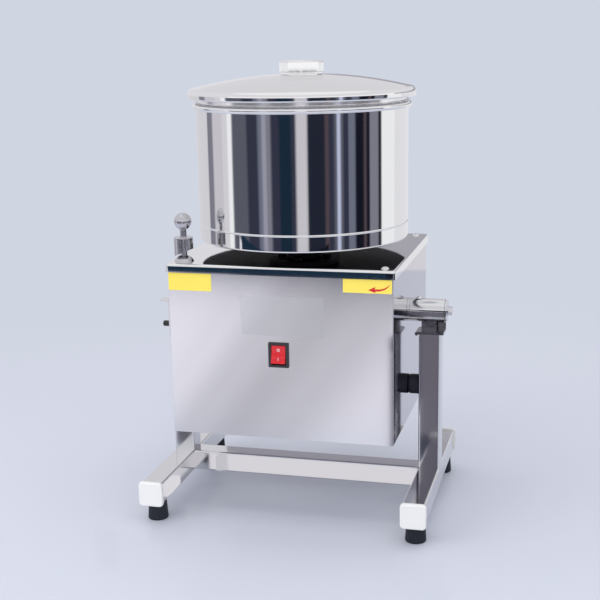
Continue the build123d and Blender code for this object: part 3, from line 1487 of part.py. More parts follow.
# Wiper: a moulded arm from the yoke's hub to a blade that scrapes the drum's wall.
wiper_outer = drum_inner_radius - wiper_wall_gap
wiper_low = stone_top + wiper_stone_gap
arm_top = hub_high - yoke_hub_round
with BuildPart() as wiper_blade:
    with BuildSketch(Plane.XY.offset(arm_top - wiper_thickness)):
        with BuildLine():
            half = wiper_width / 2
            inner_y = body_y + (yoke_hub_radius**2 - half**2) ** 0.5 + weld_gap
            outer_y = body_y + wiper_outer - wiper_blade_thickness
            Polyline((-half, inner_y), (-half, outer_y), (half, outer_y), (half, inner_y))
            ThreePointArc((half, inner_y), (0, body_y + yoke_hub_radius + weld_gap), (-half, inner_y))
        make_face()
    extrude(amount=wiper_thickness)
    with BuildSketch(Plane.XZ.offset(-outer_y - wiper_blade_thickness / 2)):
        with BuildLine():
            Polyline(
                (-wiper_width / 2, wiper_low),
                (wiper_width, wiper_low),
                (wiper_width / 2, arm_top),
                (-wiper_width / 2, arm_top),
                close=True,
            )
        make_face()
    extrude(amount=wiper_blade_thickness / 2, both=True)
wiper_blade.part.label = "wiper_blade"
export_step(wiper_blade.part, "parts/wiper_blade.step")

# Lid dome: crown arc, rounded shoulder, short upright edge and a hem.
hem_low = rim_top + lid_hem_above_rim
hem_z = hem_low + lid_hem_radius
shoulder_z = rim_top + lid_shoulder_above_rim
crown_z = rim_top + lid_crown_above_rim
shoulder_r = lid_radius - lid_shoulder_inset
crown_arc = (shoulder_r**2 + (crown_z - shoulder_z) ** 2) / (2 * (crown_z - shoulder_z))
edge_z = shoulder_z - lid_shoulder_inset
edge_inner_r = lid_radius - lid_sheet
shoulder_under = shoulder_z - lid_sheet
crown_under = crown_z - lid_sheet
with BuildPart() as lid_shell:
    with BuildSketch(drum_plane):
        with BuildLine():
            RadiusArc((0, crown_z), (shoulder_r, shoulder_z), crown_arc)
            RadiusArc((shoulder_r, shoulder_z), (lid_radius, edge_z), lid_shoulder_inset)
            Line((lid_radius, edge_z), (lid_radius, hem_z))
            Line((lid_radius, hem_z), (edge_inner_r, hem_z))
            Line((edge_inner_r, hem_z), (edge_inner_r, edge_z))
            RadiusArc((edge_inner_r, edge_z), (shoulder_r, shoulder_under), lid_sheet - lid_shoulder_inset)
            RadiusArc((shoulder_r, shoulder_under), (0, crown_under), lid_sheet - crown_arc)
            Line((0, crown_under), (0, crown_z))
        make_face()
        with Locations((lid_radius - lid_hem_radius, hem_z)):
            Circle(lid_hem_radius)
    revolve(axis=drum_axis)
    with BuildSketch(Plane.XY.offset(crown_under - overrun)):
        with Locations((0, body_y)):
            Circle(knob_screw_radius)
    extrude(amount=lid_sheet + 2 * overrun, mode=Mode.SUBTRACT)
lid_shell.part.label = "lid_shell"
export_step(lid_shell.part, "parts/lid_shell.step")

# Skirt: it hangs from the dome, lies on the rim with a flange and reaches into the drum's mouth.
skirt_top = crown_z - crown_arc + ((crown_arc - lid_sheet) ** 2 - skirt_radius**2) ** 0.5 - weld_gap
step_z = rim_top + body_clearance
with BuildPart() as lid_skirt:
    with BuildSketch(drum_plane):
        with BuildLine():
            Polyline(
                (skirt_radius - skirt_sheet, skirt_top),
                (skirt_radius, skirt_top),
                (skirt_radius, step_z + skirt_sheet),
                (skirt_seat_radius, step_z + skirt_sheet),
                (skirt_seat_radius, step_z),
                (skirt_step_radius, step_z),
                (skirt_step_radius, step_z - skirt_depth),
                (skirt_step_radius - skirt_sheet, step_z - skirt_depth),
                (skirt_step_radius - skirt_sheet, step_z + skirt_sheet),
                (skirt_radius - skirt_sheet, step_z + skirt_sheet),
                close=True,
            )
        make_face()
    revolve(axis=drum_axis)
lid_skirt.part.label = "lid_skirt"
export_step(lid_skirt.part, "parts/lid_skirt.step")

# Knob: a short turned cylinder on a narrower foot, hollowed below to follow the crown.
knob_low = crown_z - crown_arc + ((crown_arc + weld_gap) ** 2 - knob_foot_radius**2) ** 0.5
knob_top = crown_z + knob_height
with BuildPart() as lid_knob:
    with BuildSketch(drum_plane):
        with BuildLine():
            RadiusArc((0, crown_z + weld_gap), (knob_foot_radius, knob_low), crown_arc + weld_gap)
            Polyline(
                (knob_foot_radius, knob_low),
                (knob_foot_radius, crown_z + knob_foot),
                (knob_radius, crown_z + knob_foot),
                (knob_radius, knob_top),
                (0, knob_top),
                (0, crown_z + weld_gap),
            )
        make_face()
        fillet(vertices().group_by(Axis.Y)[-1].sort_by(Axis.X)[-1], knob_round)
    revolve(axis=drum_axis)
    with BuildSketch(Plane.XY.offset(crown_z - overrun)):
        with Locations((0, body_y)):
            Circle(knob_screw_radius)
    extrude(amount=knob_screw_length + overrun, mode=Mode.SUBTRACT)
lid_knob.part.label = "lid_knob"
export_step(lid_knob.part, "parts/lid_knob.step")

# Screw that holds the knob from inside the lid.
screw_seat = crown_z - lid_sheet - weld_gap
with BuildPart() as knob_screw:
    with BuildSketch(Plane.XY.offset(screw_seat - knob_screw_head)):
        with Locations((0, body_y)):
            Circle(knob_screw_head_radius)
    extrude(amount=knob_screw_head)
    with BuildSketch(Plane.XY.offset(screw_seat)):
        with Locations((0, body_y)):
            Circle(knob_screw_radius - hole_slack)
    extrude(amount=knob_screw_length)
knob_screw.part.label = "knob_screw"
export_step(knob_screw.part, "parts/knob_screw.step")
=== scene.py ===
# %% Start from the measured frame
from math import atan2, cos, degrees, pi, radians, sin

import bmesh
import bpy
from mathutils import Matrix, Vector


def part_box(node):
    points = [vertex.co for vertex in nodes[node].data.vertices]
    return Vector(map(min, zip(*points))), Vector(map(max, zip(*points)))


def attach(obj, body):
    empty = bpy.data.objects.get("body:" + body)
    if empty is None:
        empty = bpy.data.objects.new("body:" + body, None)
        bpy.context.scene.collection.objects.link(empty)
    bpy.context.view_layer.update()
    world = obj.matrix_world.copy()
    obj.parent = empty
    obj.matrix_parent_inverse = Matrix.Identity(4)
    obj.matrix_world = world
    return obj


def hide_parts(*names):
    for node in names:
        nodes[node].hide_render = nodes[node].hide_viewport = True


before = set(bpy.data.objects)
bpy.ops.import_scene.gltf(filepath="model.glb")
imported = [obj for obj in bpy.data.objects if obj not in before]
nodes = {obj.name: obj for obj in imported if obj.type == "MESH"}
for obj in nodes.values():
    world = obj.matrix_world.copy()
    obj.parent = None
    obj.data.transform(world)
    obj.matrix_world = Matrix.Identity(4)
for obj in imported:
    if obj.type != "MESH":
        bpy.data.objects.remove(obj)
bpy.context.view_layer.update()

print("pieces in the frame:", len(nodes))

# %% [markdown]
# # A tilting wet grinder in polished steel
#
# The frame holds every solid of the machine at full size: a drum of granite stones that turns on a
# square housing, and a stand of square tube that the housing tilts in. This lesson dresses it. Steel that
# is polished like a mirror shows its surroundings more than itself, so half of the work is the light.

# %% [markdown]
# ## A finish from one shader
#
# Every finish begins as one Principled shader with plain values. Metals differ in tint and roughness far
# more than in anything else, so one small function serves them all, and patterns are linked in later.

# %% A plain finish
def finish(name, colour, metallic=0.0, roughness=0.5):
    made = bpy.data.materials.new(name)
    made.use_nodes = True
    shader = made.node_tree.nodes["Principled BSDF"]
    shader.inputs["Base Color"].default_value = (*colour, 1)
    shader.inputs["Metallic"].default_value = metallic
    shader.inputs["Roughness"].default_value = roughness
    return made


def shader_of(made):
    return made.node_tree.nodes["Principled BSDF"]


def noise(made, scale, stretch=(1, 1, 1), detail=3.0):
    """Noise in the object's own metres, stretched to run along one axis."""
    tree = made.node_tree
    place = tree.nodes.new("ShaderNodeTexCoord")
    mapping = tree.nodes.new("ShaderNodeMapping")
    mapping.inputs["Scale"].default_value = stretch
    texture = tree.nodes.new("ShaderNodeTexNoise")
    texture.inputs["Scale"].default_value = scale
    texture.inputs["Detail"].default_value = detail
    tree.links.new(place.outputs["Object"], mapping.inputs["Vector"])
    tree.links.new(mapping.outputs["Vector"], texture.inputs["Vector"])
    return texture.outputs["Fac"]


def relief(made, height, depth, strength=1.0):
    """Turns a height pattern into small dents of the given depth."""
    bump = made.node_tree.nodes.new("ShaderNodeBump")
    bump.inputs["Distance"].default_value = depth
    bump.inputs["Strength"].default_value = strength
    made.node_tree.links.new(height, bump.inputs["Height"])
    made.node_tree.links.new(bump.outputs["Normal"], shader_of(made).inputs["Normal"])


def spread(made, pattern, low, high, socket):
    """Lets a pattern move one socket of the shader between two values."""
    span = made.node_tree.nodes.new("ShaderNodeMapRange")
    span.inputs["To Min"].default_value = low
    span.inputs["To Max"].default_value = high
    made.node_tree.links.new(pattern, span.inputs["Value"])
    made.node_tree.links.new(span.outputs["Result"], shader_of(made).inputs[socket])


def tint(made, pattern, dark, light):
    """Lets a pattern run the colour from a dark tone to a light one."""
    ramp = made.node_tree.nodes.new("ShaderNodeValToRGB")
    ramp.color_ramp.elements[0].color = (*dark, 1)
    ramp.color_ramp.elements[1].color = (*light, 1)
    made.node_tree.links.new(pattern, ramp.inputs["Fac"])
    made.node_tree.links.new(ramp.outputs["Color"], shader_of(made).inputs["Base Color"])
    return ramp


# %% [markdown]
# ## Steel, polished and plain
#
# The drum, the lid and the cover are spun or bent from sheet and buffed until they mirror. No such sheet
# is quite flat: a very shallow, slow noise lets the edges of a reflection wander a little. The housing's
# panels keep the mill's fine vertical grain, so their reflections blur. The front panel also carries a
# painted sheen: its base colour runs aslant from a bright upper corner, through a darker band, to the far
# corner, in place of the room that it reflects.

# %% A painted sheen that runs aslant
def painted_slanted_sheen(made, tones, start, turn, length, green_share=0.985):
    """Paints a sheen into a finish's base colour along a slanted line: each tone is a share of the line and
    its level there.
    """
    tree = made.node_tree
    coords = tree.nodes.new("ShaderNodeTexCoord")
    line = tree.nodes.new("ShaderNodeMapping")
    line.vector_type = "TEXTURE"
    line.inputs["Location"].default_value = start
    line.inputs["Rotation"].default_value = (0, radians(turn), 0)
    line.inputs["Scale"].default_value = (length, length, length)
    slope = tree.nodes.new("ShaderNodeTexGradient")
    ramp = tree.nodes.new("ShaderNodeValToRGB")
    ramp.color_ramp.interpolation = "EASE"
    stops = ramp.color_ramp.elements
    stops.remove(stops[1])
    for share, level in tones:
        stops.new(share).color = (level, green_share * level, level, 1)
    stops.remove(stops[0])
    tree.links.new(coords.outputs["Object"], line.inputs["Vector"])
    tree.links.new(line.outputs["Vector"], slope.inputs["Vector"])
    tree.links.new(slope.outputs["Color"], ramp.inputs["Fac"])
    tree.links.new(ramp.outputs["Color"], shader_of(made).inputs["Base Color"])


# %% Sheet finishes
polished = finish("mirror polished steel", (0.86, 0.86, 0.86), 1.0, 0.045)
relief(polished, noise(polished, 14.0, (1, 1, 0.35), 1.0), 0.0006, 0.25)
spread(polished, noise(polished, 160.0, (1, 1, 0.02)), 0.035, 0.07, "Roughness")

satin = finish("satin steel sheet", (0.95, 0.93, 0.93), 1.0, 0.22)
# painted sheen: the panel's base colour goes lighter and darker aslant, standing in for the room it reflects
painted_sheen_tones = [(0.0, 1.0), (0.17, 0.95), (0.31, 0.88), (0.46, 0.69), (0.60, 0.59), (0.74, 0.65), (1.0, 0.86)]
sheen_start = (-0.140, 0, 0.330)
sheen_turn = 36.9  # degrees down from level
sheen_length = 0.31
painted_slanted_sheen(satin, painted_sheen_tones, sheen_start, sheen_turn, sheen_length)
spread(satin, noise(satin, 500.0, (1, 1, 0.02)), 0.20, 0.26, "Roughness")

side_steel = finish("polished side sheet", (0.57, 0.55, 0.59), 1.0, 0.08)
relief(side_steel, noise(side_steel, 10.0, (1, 1, 0.4), 1.0), 0.0006, 0.2)
spread(side_steel, noise(side_steel, 300.0, (1, 1, 0.02)), 0.06, 0.11, "Roughness")

tube_steel = finish("polished tube", (0.74, 0.74, 0.75), 1.0, 0.12)
relief(tube_steel, noise(tube_steel, 30.0), 0.0004, 0.25)

# Painted shade: a near-black, dull finish for the drum's underside, which lies in shadow just above the
# cover.
painted_shade_underside = finish("underside in painted shade", (0.010, 0.011, 0.016), 0.0, 0.50)
shader_of(painted_shade_underside).inputs["Specular IOR Level"].default_value = 0.02
spread(painted_shade_underside, noise(painted_shade_underside, 200.0), 0.44, 0.56, "Roughness")

buffed = finish("buffed steel", (0.90, 0.89, 0.90), 1.0, 0.17)
spread(buffed, noise(buffed, 160.0, (1, 1, 0.02)), 0.15, 0.20, "Roughness")

welded = finish("welded steel", (0.36, 0.35, 0.38), 1.0, 0.24)
relief(welded, noise(welded, 160.0), 0.0005, 0.5)

# The drum's hub and its bolts: a blackened-iron finish, made near-black as painted shade for the dark under
# the drum.
black_iron_painted_shade = finish("blackened iron in painted shade", (0.010, 0.010, 0.014), 0.0, 0.55)
shader_of(black_iron_painted_shade).inputs["Specular IOR Level"].default_value = 0.15
relief(black_iron_painted_shade, noise(black_iron_painted_shade, 600.0), 0.0001, 0.4)

latch_steel = finish("chromed latch steel", (0.60, 0.59, 0.62), 1.0, 0.24)
spread(latch_steel, noise(latch_steel, 260.0), 0.20, 0.29, "Roughness")

plain_steel = finish("plain steel", (0.52, 0.52, 0.54), 1.0, 0.32)
spread(plain_steel, noise(plain_steel, 240.0), 0.26, 0.42, "Roughness")

plated = finish("bright plated steel", (0.72, 0.72, 0.74), 1.0, 0.16)
spread(plated, noise(plated, 400.0), 0.12, 0.22, "Roughness")

iron = finish("cast iron", (0.16, 0.16, 0.17), 0.8, 0.55)
relief(iron, noise(iron, 900.0), 0.0002, 0.6)

aluminium = finish("cast aluminium", (0.66, 0.67, 0.69), 1.0, 0.4)
relief(aluminium, noise(aluminium, 700.0), 0.0001, 0.5)

# %% Paint, rubber, plastics and stone
enamel = finish("motor enamel", (0.05, 0.08, 0.14), 0.0, 0.38)
relief(enamel, noise(enamel, 500.0), 0.0001, 0.4)

rubber = finish("black rubber", (0.014, 0.016, 0.026), 0.0, 0.60)
shader_of(rubber).inputs["Specular IOR Level"].default_value = 0.30
relief(rubber, noise(rubber, 800.0), 0.0001, 0.4)

black_plastic = finish("black plastic", (0.02, 0.02, 0.022), 0.0, 0.32)
relief(black_plastic, noise(black_plastic, 1200.0), 0.00004, 0.3)

white_plastic = finish("white plastic", (0.84, 0.83, 0.82), 0.0, 0.35)
relief(white_plastic, noise(white_plastic, 900.0), 0.00003, 0.3)

nylon = finish("bearing nylon", (0.62, 0.60, 0.54), 0.0, 0.45)
relief(nylon, noise(nylon, 900.0), 0.00004, 0.3)

mark_paint = finish("white mark", (0.75, 0.72, 0.72), 0.0, 0.4)
relief(mark_paint, noise(mark_paint, 900.0), 0.00002, 0.2)

yellow = finish("yellow plate", (0.93, 0.74, 0.10), 0.0, 0.4)
relief(yellow, noise(yellow, 500.0), 0.00002, 0.2)

film = finish("clear film", (0.92, 0.92, 0.95), 0.0, 0.18)
shader_of(film).inputs["Alpha"].default_value = 0.20
relief(film, noise(film, 60.0), 0.0001, 0.2)

red_plastic = finish("red switch plastic", (0.62, 0.012, 0.02), 0.0, 0.22)
relief(red_plastic, noise(red_plastic, 700.0), 0.00003, 0.2)

granite = finish("black granite", (0.08, 0.08, 0.085), 0.0, 0.62)
tint(granite, noise(granite, 420.0, (1, 1, 1), 8.0), (0.02, 0.02, 0.022), (0.24, 0.24, 0.25))
relief(granite, noise(granite, 600.0), 0.0003, 0.5)

# %% [markdown]
# ## Finishes for the frame's own solids
#
# Most solids of the frame keep their mesh and only change their material. The others get a finish too,
# though finer pieces take their place below. The list goes by finish, because that is how the parts of a
# real machine come from their shops: plated, cast, painted, turned.

# %% Hand out the finishes
finishes = {
    buffed: ["lid_skirt"],
    polished: ["drum_shell", "lid_shell", "top_cover", "lid_knob"],
    latch_steel: ["latch_post", "latch_sleeve"],
    welded: ["pivot_saddles"],
    black_iron_painted_shade: ["drum_hub", "hub_bolts"],
    satin: ["front_panel"],
    side_steel: ["side_panel_left", "side_panel_right", "back_panel", "bottom_plate"],
    tube_steel: ["foot_tube_left", "foot_tube_right", "cross_tube", "leg_left", "leg_right",
                 "pivot_sleeves", "lock_bracket"],
    plain_steel: ["deck_plate", "spindle", "pivot_shafts", "stone_pin", "lock_pin",
                  "motor_plate", "motor_shaft", "spindle_bearings", "roller_yoke"],
    plated: ["foot_screws", "panel_screws", "pivot_washers", "pivot_bolt", "bearing_bolts", "motor_bolts",
             "spindle_nut", "lock_spring", "latch_spring", "knob_screw", "oil_caps"],
    iron: ["bearing_housing"],
    aluminium: ["drum_pulley", "motor_pulley", "capacitor"],
    enamel: ["motor_body"],
    rubber: ["rubber_feet", "stop_bushes", "drive_belt"],
    black_plastic: ["switch_frame", "cable_gland", "lock_knob"],
    white_plastic: ["end_caps"],
    nylon: ["pivot_bushes", "wiper_blade"],
    red_plastic: ["switch_rocker"],
    granite: ["base_stone", "roller_stone_left", "roller_stone_right"],
}
for made, names in finishes.items():
    for name in names:
        nodes[name].material_slots[0].material = made
dressed = {name for names in finishes.values() for name in names}
print("solids without a finish:", sorted(set(nodes) - dressed))

# %% [markdown]
# ## Spun work
#
# The drum and the lid are spun: a disc of sheet turns on a lathe and is pressed over a form. The same can
# be done with an outline: a single point is extruded along the section of the sheet, and the Spin operator
# carries that section once round the axis. The wall has its real thickness, because the outline runs down
# the inside as well. The measures below are in metres, as the frame's are.

# %% Outlines and spinning
mm = 0.001
hair = 0.1 * mm
same_spot = 0.00001  # points closer than this become one


def fresh():
    """Leaves edit mode and lets go of everything."""
    if bpy.context.object and bpy.context.object.mode != "OBJECT":
        bpy.ops.object.mode_set(mode="OBJECT")
    bpy.ops.object.select_all(action="DESELECT")


def arc(centre, radius, start, end, count):
    """Points of an arc, from start to end in degrees, both ends with it."""
    turns = [radians(start + (end - start) * i / count) for i in range(count + 1)]
    return [(centre[0] + radius * cos(t), centre[1] + radius * sin(t)) for t in turns]


def settle(piece):
    """Puts the piece's place and turn into its mesh."""
    fresh()
    piece.select_set(True)
    bpy.context.view_layer.objects.active = piece
    bpy.ops.object.transform_apply(location=True, rotation=True, scale=True)


def line_through(name, points):
    """A new piece in edit mode: one line of edges, drawn from point to point."""
    fresh()
    bpy.ops.mesh.primitive_plane_add(size=mm)
    piece = bpy.context.object
    piece.name = name
    bpy.ops.object.mode_set(mode="EDIT")
    bpy.ops.mesh.select_mode(type="VERT")
    bpy.ops.mesh.select_all(action="SELECT")
    bpy.ops.mesh.merge(type="CENTER")
    bpy.ops.transform.translate(value=points[0])
    for here, there in zip(points, points[1:]):
        move = [after - before for before, after in zip(here, there)]
        bpy.ops.mesh.extrude_vertices_move(TRANSFORM_OT_translate={"value": move})
    bpy.ops.mesh.select_all(action="SELECT")
    return piece


def turned(name, outline, foot, steps, turn=(0, 0, 0)):
    """Spins an outline of (radius, height) round an axis that stands on foot."""
    piece = line_through(name, [(r, 0, h) for r, h in outline])
    bpy.ops.mesh.spin(steps=steps, angle=2 * pi, center=(0, 0, 0), axis=(0, 0, 1))
    bpy.ops.mesh.select_all(action="SELECT")
    bpy.ops.mesh.remove_doubles(threshold=same_spot)
    bpy.ops.mesh.normals_make_consistent(inside=False)
    bpy.ops.object.mode_set(mode="OBJECT")
    piece.rotation_euler = turn
    piece.location = foot
    settle(piece)
    return piece


def finished(piece, body, made, stands_for=(), smooth=32):
    """Shades the piece, gives it its finish and hangs it on its body in place of the frame's solids."""
    fresh()
    piece.select_set(True)
    bpy.context.view_layer.objects.active = piece
    bpy.ops.object.shade_smooth_by_angle(angle=radians(smooth))
    weigh = piece.modifiers.new("weighted normals", "WEIGHTED_NORMAL")
    weigh.keep_sharp = True
    bpy.ops.object.modifier_apply(modifier=weigh.name)
    if not piece.data.materials:
        piece.data.materials.append(made)
    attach(piece, body)
    if stands_for:
        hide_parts(*stands_for)
    print(piece.name, len(piece.data.polygons), "faces")


def finished_set(pieces, body, made, node):
    """Finishes the copies of one piece. The first stands for the frame's node, which holds them all."""
    finished(pieces[0], body, made, [node])
    for piece in pieces[1:]:
        finished(piece, body, made)


# %% [markdown]
# ### The drum
#
# A deep spun pot: a flat bottom with a tight corner, a fine raised ring a little above it, and a rim that
# is rolled outward round a wire. All of it is one outline.

# %% The drum's shell
sheet = 1.2 * mm
fine_steps = 192
drum_low, drum_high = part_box("drum_shell")
axis = Vector(((drum_low.x + drum_high.x) / 2, (drum_low.y + drum_high.y) / 2, 0))
rim_roll = 3.9 * mm
rim_centre = drum_high.x - rim_roll
rim_height = drum_high.z - drum_low.z - rim_roll
rim_overhang = 0.8 * mm
drum_wall = rim_centre - rim_overhang
drum_inside = drum_wall - sheet
ring_height, ring_roll = 20.6 * mm, 1.1 * mm
ring_foot = 0.3 * mm
ring_meets = 85  # degrees up and down the ring's bulge, where it runs out
corner = 2.6 * mm
floor_sheet = 1.5 * mm
wall_meets = 101.8  # degrees round the roll, where the wall's outside meets it
inside_meets = 239.2  # and where its inside does
drum_outline = [(0, 0), (drum_wall * 0.5, 0)]
drum_outline += arc((drum_wall - corner, corner), corner, -90, 0, 8)
drum_outline += [(drum_wall, ring_height - ring_roll - ring_foot)]
drum_outline += arc((drum_wall, ring_height), ring_roll, -ring_meets, ring_meets, 12)
drum_outline += [(drum_wall, ring_height + ring_roll + ring_foot), (drum_wall, rim_height * 0.5)]
drum_outline += arc((rim_centre, rim_height), rim_roll, -wall_meets, inside_meets, 40)
drum_outline += [(drum_inside, rim_height * 0.5), (drum_inside, floor_sheet + corner)]
drum_outline += arc((drum_inside - corner, floor_sheet + corner), corner, 0, -90, 6)
drum_outline += [(0, floor_sheet)]
drum = turned("drum", drum_outline, (axis.x, axis.y, drum_low.z), fine_steps)
drum.data.materials.append(polished)
# the flat faces under the drum's bottom take the painted shade
drum.data.materials.append(painted_shade_underside)
for face in drum.data.polygons:
    if face.normal.z < -0.99 and face.center.z < drum_low.z + hair:
        face.material_index = 1
finished(drum, "drum", polished, ["drum_shell"])

# %% [markdown]
# ### The lid
#
# The lid is a shallow dome with a rounded shoulder and a hemmed edge. A ring of sheet is welded under it:
# its flange lies on the drum's rim, and its lower step keeps the lid from sliding off sideways.

# %% The lid's dome
lid_low, lid_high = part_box("lid_shell")
lid_edge = lid_high.x
hem = 2.2 * mm
shoulder_round = 6.8 * mm
shoulder_r = lid_edge - shoulder_round
shoulder_z = 12.4 * mm
crown_z = lid_high.z - lid_low.z
crown_arc = (shoulder_r**2 + (crown_z - shoulder_z) ** 2) / (2 * (crown_z - shoulder_z))
lean = 180 / pi * atan2(shoulder_r, crown_arc - (crown_z - shoulder_z))
edge_z = shoulder_z - shoulder_round
shoulder_meets = 82  # degrees up the shoulder, where the crown begins
hem_curl = -297  # degrees that the hem curls round
lid_outline = arc((0, crown_z - crown_arc), crown_arc, 90, 90 - lean, 24)
lid_outline += arc((shoulder_r, edge_z), shoulder_round, shoulder_meets, 0, 12)
lid_outline += arc((lid_edge - hem, hem), hem, 0, hem_curl, 24)
lid_outline += arc((shoulder_r, edge_z), shoulder_round - sheet, 0, shoulder_meets, 10)
lid_outline += arc((0, crown_z - crown_arc), crown_arc - sheet, 90 - lean, 90, 24)
lid = turned("lid", lid_outline, (axis.x, axis.y, lid_low.z), fine_steps)
finished(lid, "lid", polished, ["lid_shell"])

# %% The skirt under the lid
skirt_low, skirt_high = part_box("lid_skirt")
seat_r = skirt_high.x
upper_play, lower_play = 0.5 * mm, 3.0 * mm
upper_r = drum_inside - upper_play
lower_r = drum_inside - lower_play
step = 10.0 * mm
chamfer = sheet / 3
skirt_top = skirt_high.z - skirt_low.z
skirt_outline = [
    (upper_r - sheet, skirt_top), (upper_r, skirt_top), (upper_r, step + sheet),
    (seat_r - chamfer, step + sheet), (seat_r, step + sheet * 2 / 3), (seat_r, step + chamfer),
    (seat_r - chamfer, step), (lower_r, step), (lower_r, chamfer), (lower_r - chamfer, 0),
    (lower_r - sheet, 0), (lower_r - sheet, step + sheet), (upper_r - sheet, step + sheet),
    (upper_r - sheet, skirt_top),
]
skirt = turned("skirt", skirt_outline, (axis.x, axis.y, skirt_low.z), fine_steps)
finished(skirt, "lid", buffed, ["lid_skirt"])

# %% [markdown]
# ### The lid's knob
#
# A short polished cylinder on a slightly narrower foot, with a rounded upper edge.

# %% The knob
knob_low, knob_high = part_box("lid_knob")
knob_r = knob_high.x
knob_top = knob_high.z - knob_low.z
knob_foot_r = 25.0 * mm
knob_foot = 2.1 * mm
knob_round = 2.0 * mm
knob_outline = [(0, 0), (knob_foot_r, 0), (knob_foot_r, knob_foot)]
knob_outline += arc((knob_r - knob_round / 2, knob_foot + knob_round / 2), knob_round / 2, -90, 0, 5)
knob_outline += arc((knob_r - knob_round, knob_top - knob_round), knob_round, 0, 90, 8)
knob_outline += [(knob_r * 0.6, knob_top), (0, knob_top)]
knob = turned("knob", knob_outline, (axis.x, axis.y, knob_low.z), 96)
finished(knob, "lid", polished, ["lid_knob"])

# %% [markdown]
# ## Bent sheet and square tube
#
# Cover, caps and tubes all begin as a cube at its size and place. The cover's upper edges are bevelled in
# edit mode into soft bends and its open bottom is deleted, and Solidify gives the sheet its thickness. A
# tube keeps its four long edges rounded and loses both end faces.

# %% Boxes and how their parts are picked
def block(name, low, high):
    """A cube primitive from one corner to the other, with its size in its mesh."""
    fresh()
    size = Vector(high) - Vector(low)
    bpy.ops.mesh.primitive_cube_add(size=1, location=(Vector(low) + Vector(high)) / 2, scale=size)
    piece = bpy.context.object
    piece.name = name
    settle(piece)
    return piece


def pick(piece, kind, wanted):
    """In edit mode, selects only the faces, edges or vertices that the test wants."""
    bpy.ops.mesh.select_mode(type=kind)
    bpy.ops.mesh.select_all(action="DESELECT")
    shape = bmesh.from_edit_mesh(piece.data)
    group = {"FACE": shape.faces, "EDGE": shape.edges, "VERT": shape.verts}[kind]
    for part in group:
        part.select_set(bool(wanted(part)))
    shape.select_flush_mode()
    bmesh.update_edit_mesh(piece.data)


def runs_along(edge, way):
    """True for an edge that runs along the axis of that number."""
    line = (edge.verts[1].co - edge.verts[0].co).normalized()
    return abs(line[way]) > 0.99


def facing(way, sign, close=0.99):
    """A test for faces that look up (1) or down (-1) the axis of that number."""
    return lambda face: sign * face.normal[way] > close


def rounded_block(name, low, high, way, rounding, segments):
    """A block with its edges along one axis rounded. It stays in edit mode for what comes next."""
    piece = block(name, low, high)
    bpy.ops.object.mode_set(mode="EDIT")
    pick(piece, "EDGE", lambda edge: runs_along(edge, way))
    bpy.ops.mesh.bevel(offset=rounding, segments=segments, affect="EDGES")
    return piece


def thickened(piece, thickness):
    """Leaves edit mode and gives an open shell its thickness, inward from its faces."""
    bpy.ops.object.mode_set(mode="OBJECT")
    thicken = piece.modifiers.new("sheet", "SOLIDIFY")
    thicken.thickness = thickness
    thicken.offset = -1
    bpy.ops.object.modifier_apply(modifier=thicken.name)


def square_tube(name, low, high, way, thickness, rounding):
    """A square tube along the axis of that number, open at both ends."""
    piece = rounded_block(name, low, high, way, rounding, 5)
    pick(piece, "FACE", lambda face: abs(face.normal[way]) > 0.99)
    bpy.ops.mesh.delete(type="FACE")
    thickened(piece, thickness)
    return piece


# %% The top cover
cover_low, cover_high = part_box("top_cover")
corner_bend, top_bend = 5.0 * mm, 3.2 * mm
cover = rounded_block("cover", cover_low, cover_high, 2, corner_bend, 6)
pick(cover, "FACE", facing(2, 1))
bpy.ops.mesh.bevel(offset=top_bend, segments=7, affect="EDGES")
pick(cover, "FACE", facing(2, -1))
bpy.ops.mesh.delete(type="FACE")
thickened(cover, sheet)
finished(cover, "housing", polished, ["top_cover"])

# %% The stand's tubes
tube_wall, tube_round = 1.6 * mm, 2.4 * mm
for name, way in (("foot_tube_left", 1), ("foot_tube_right", 1), ("cross_tube", 0),
                  ("leg_left", 2), ("leg_right", 2)):
    low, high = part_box(name)
    tube = square_tube("steel_" + name, low, high, way, tube_wall, tube_round)
    finished(tube, "stand", tube_steel, [name])

# %% [markdown]
# ### End caps and feet
#
# White plugs close the foot tubes: a rounded plate with a shallow sunk field. Under each end a tapered
# rubber foot is screwed on. One cap and one foot are modelled, and the others are copies.

# %% Four end caps
cap_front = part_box("end_caps")[0].y
tube_low, tube_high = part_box("foot_tube_right")
cap_size = 31.9 * mm
cap_deep = 5.0 * mm
cap_corner, cap_edge = 5.0 * mm, 2.0 * mm
field_rim, field_slope, field_depth = 1.8 * mm, 0.6 * mm, 0.35 * mm
tube_x = (tube_low.x + tube_high.x) / 2
tube_z = (tube_low.z + tube_high.z) / 2
half = cap_size / 2
cap = rounded_block("end_cap_front_right", (tube_x - half, cap_front, tube_z - half),
                    (tube_x + half, cap_front + cap_deep, tube_z + half), 1, cap_corner, 6)
pick(cap, "FACE", facing(1, -1))
bpy.ops.mesh.bevel(offset=cap_edge, segments=5, affect="EDGES")
pick(cap, "FACE", facing(1, -1, 0.999))
bpy.ops.mesh.inset(thickness=field_rim)
bpy.ops.mesh.inset(thickness=field_slope)
bpy.ops.transform.translate(value=(0, field_depth, 0))
bpy.ops.object.mode_set(mode="OBJECT")


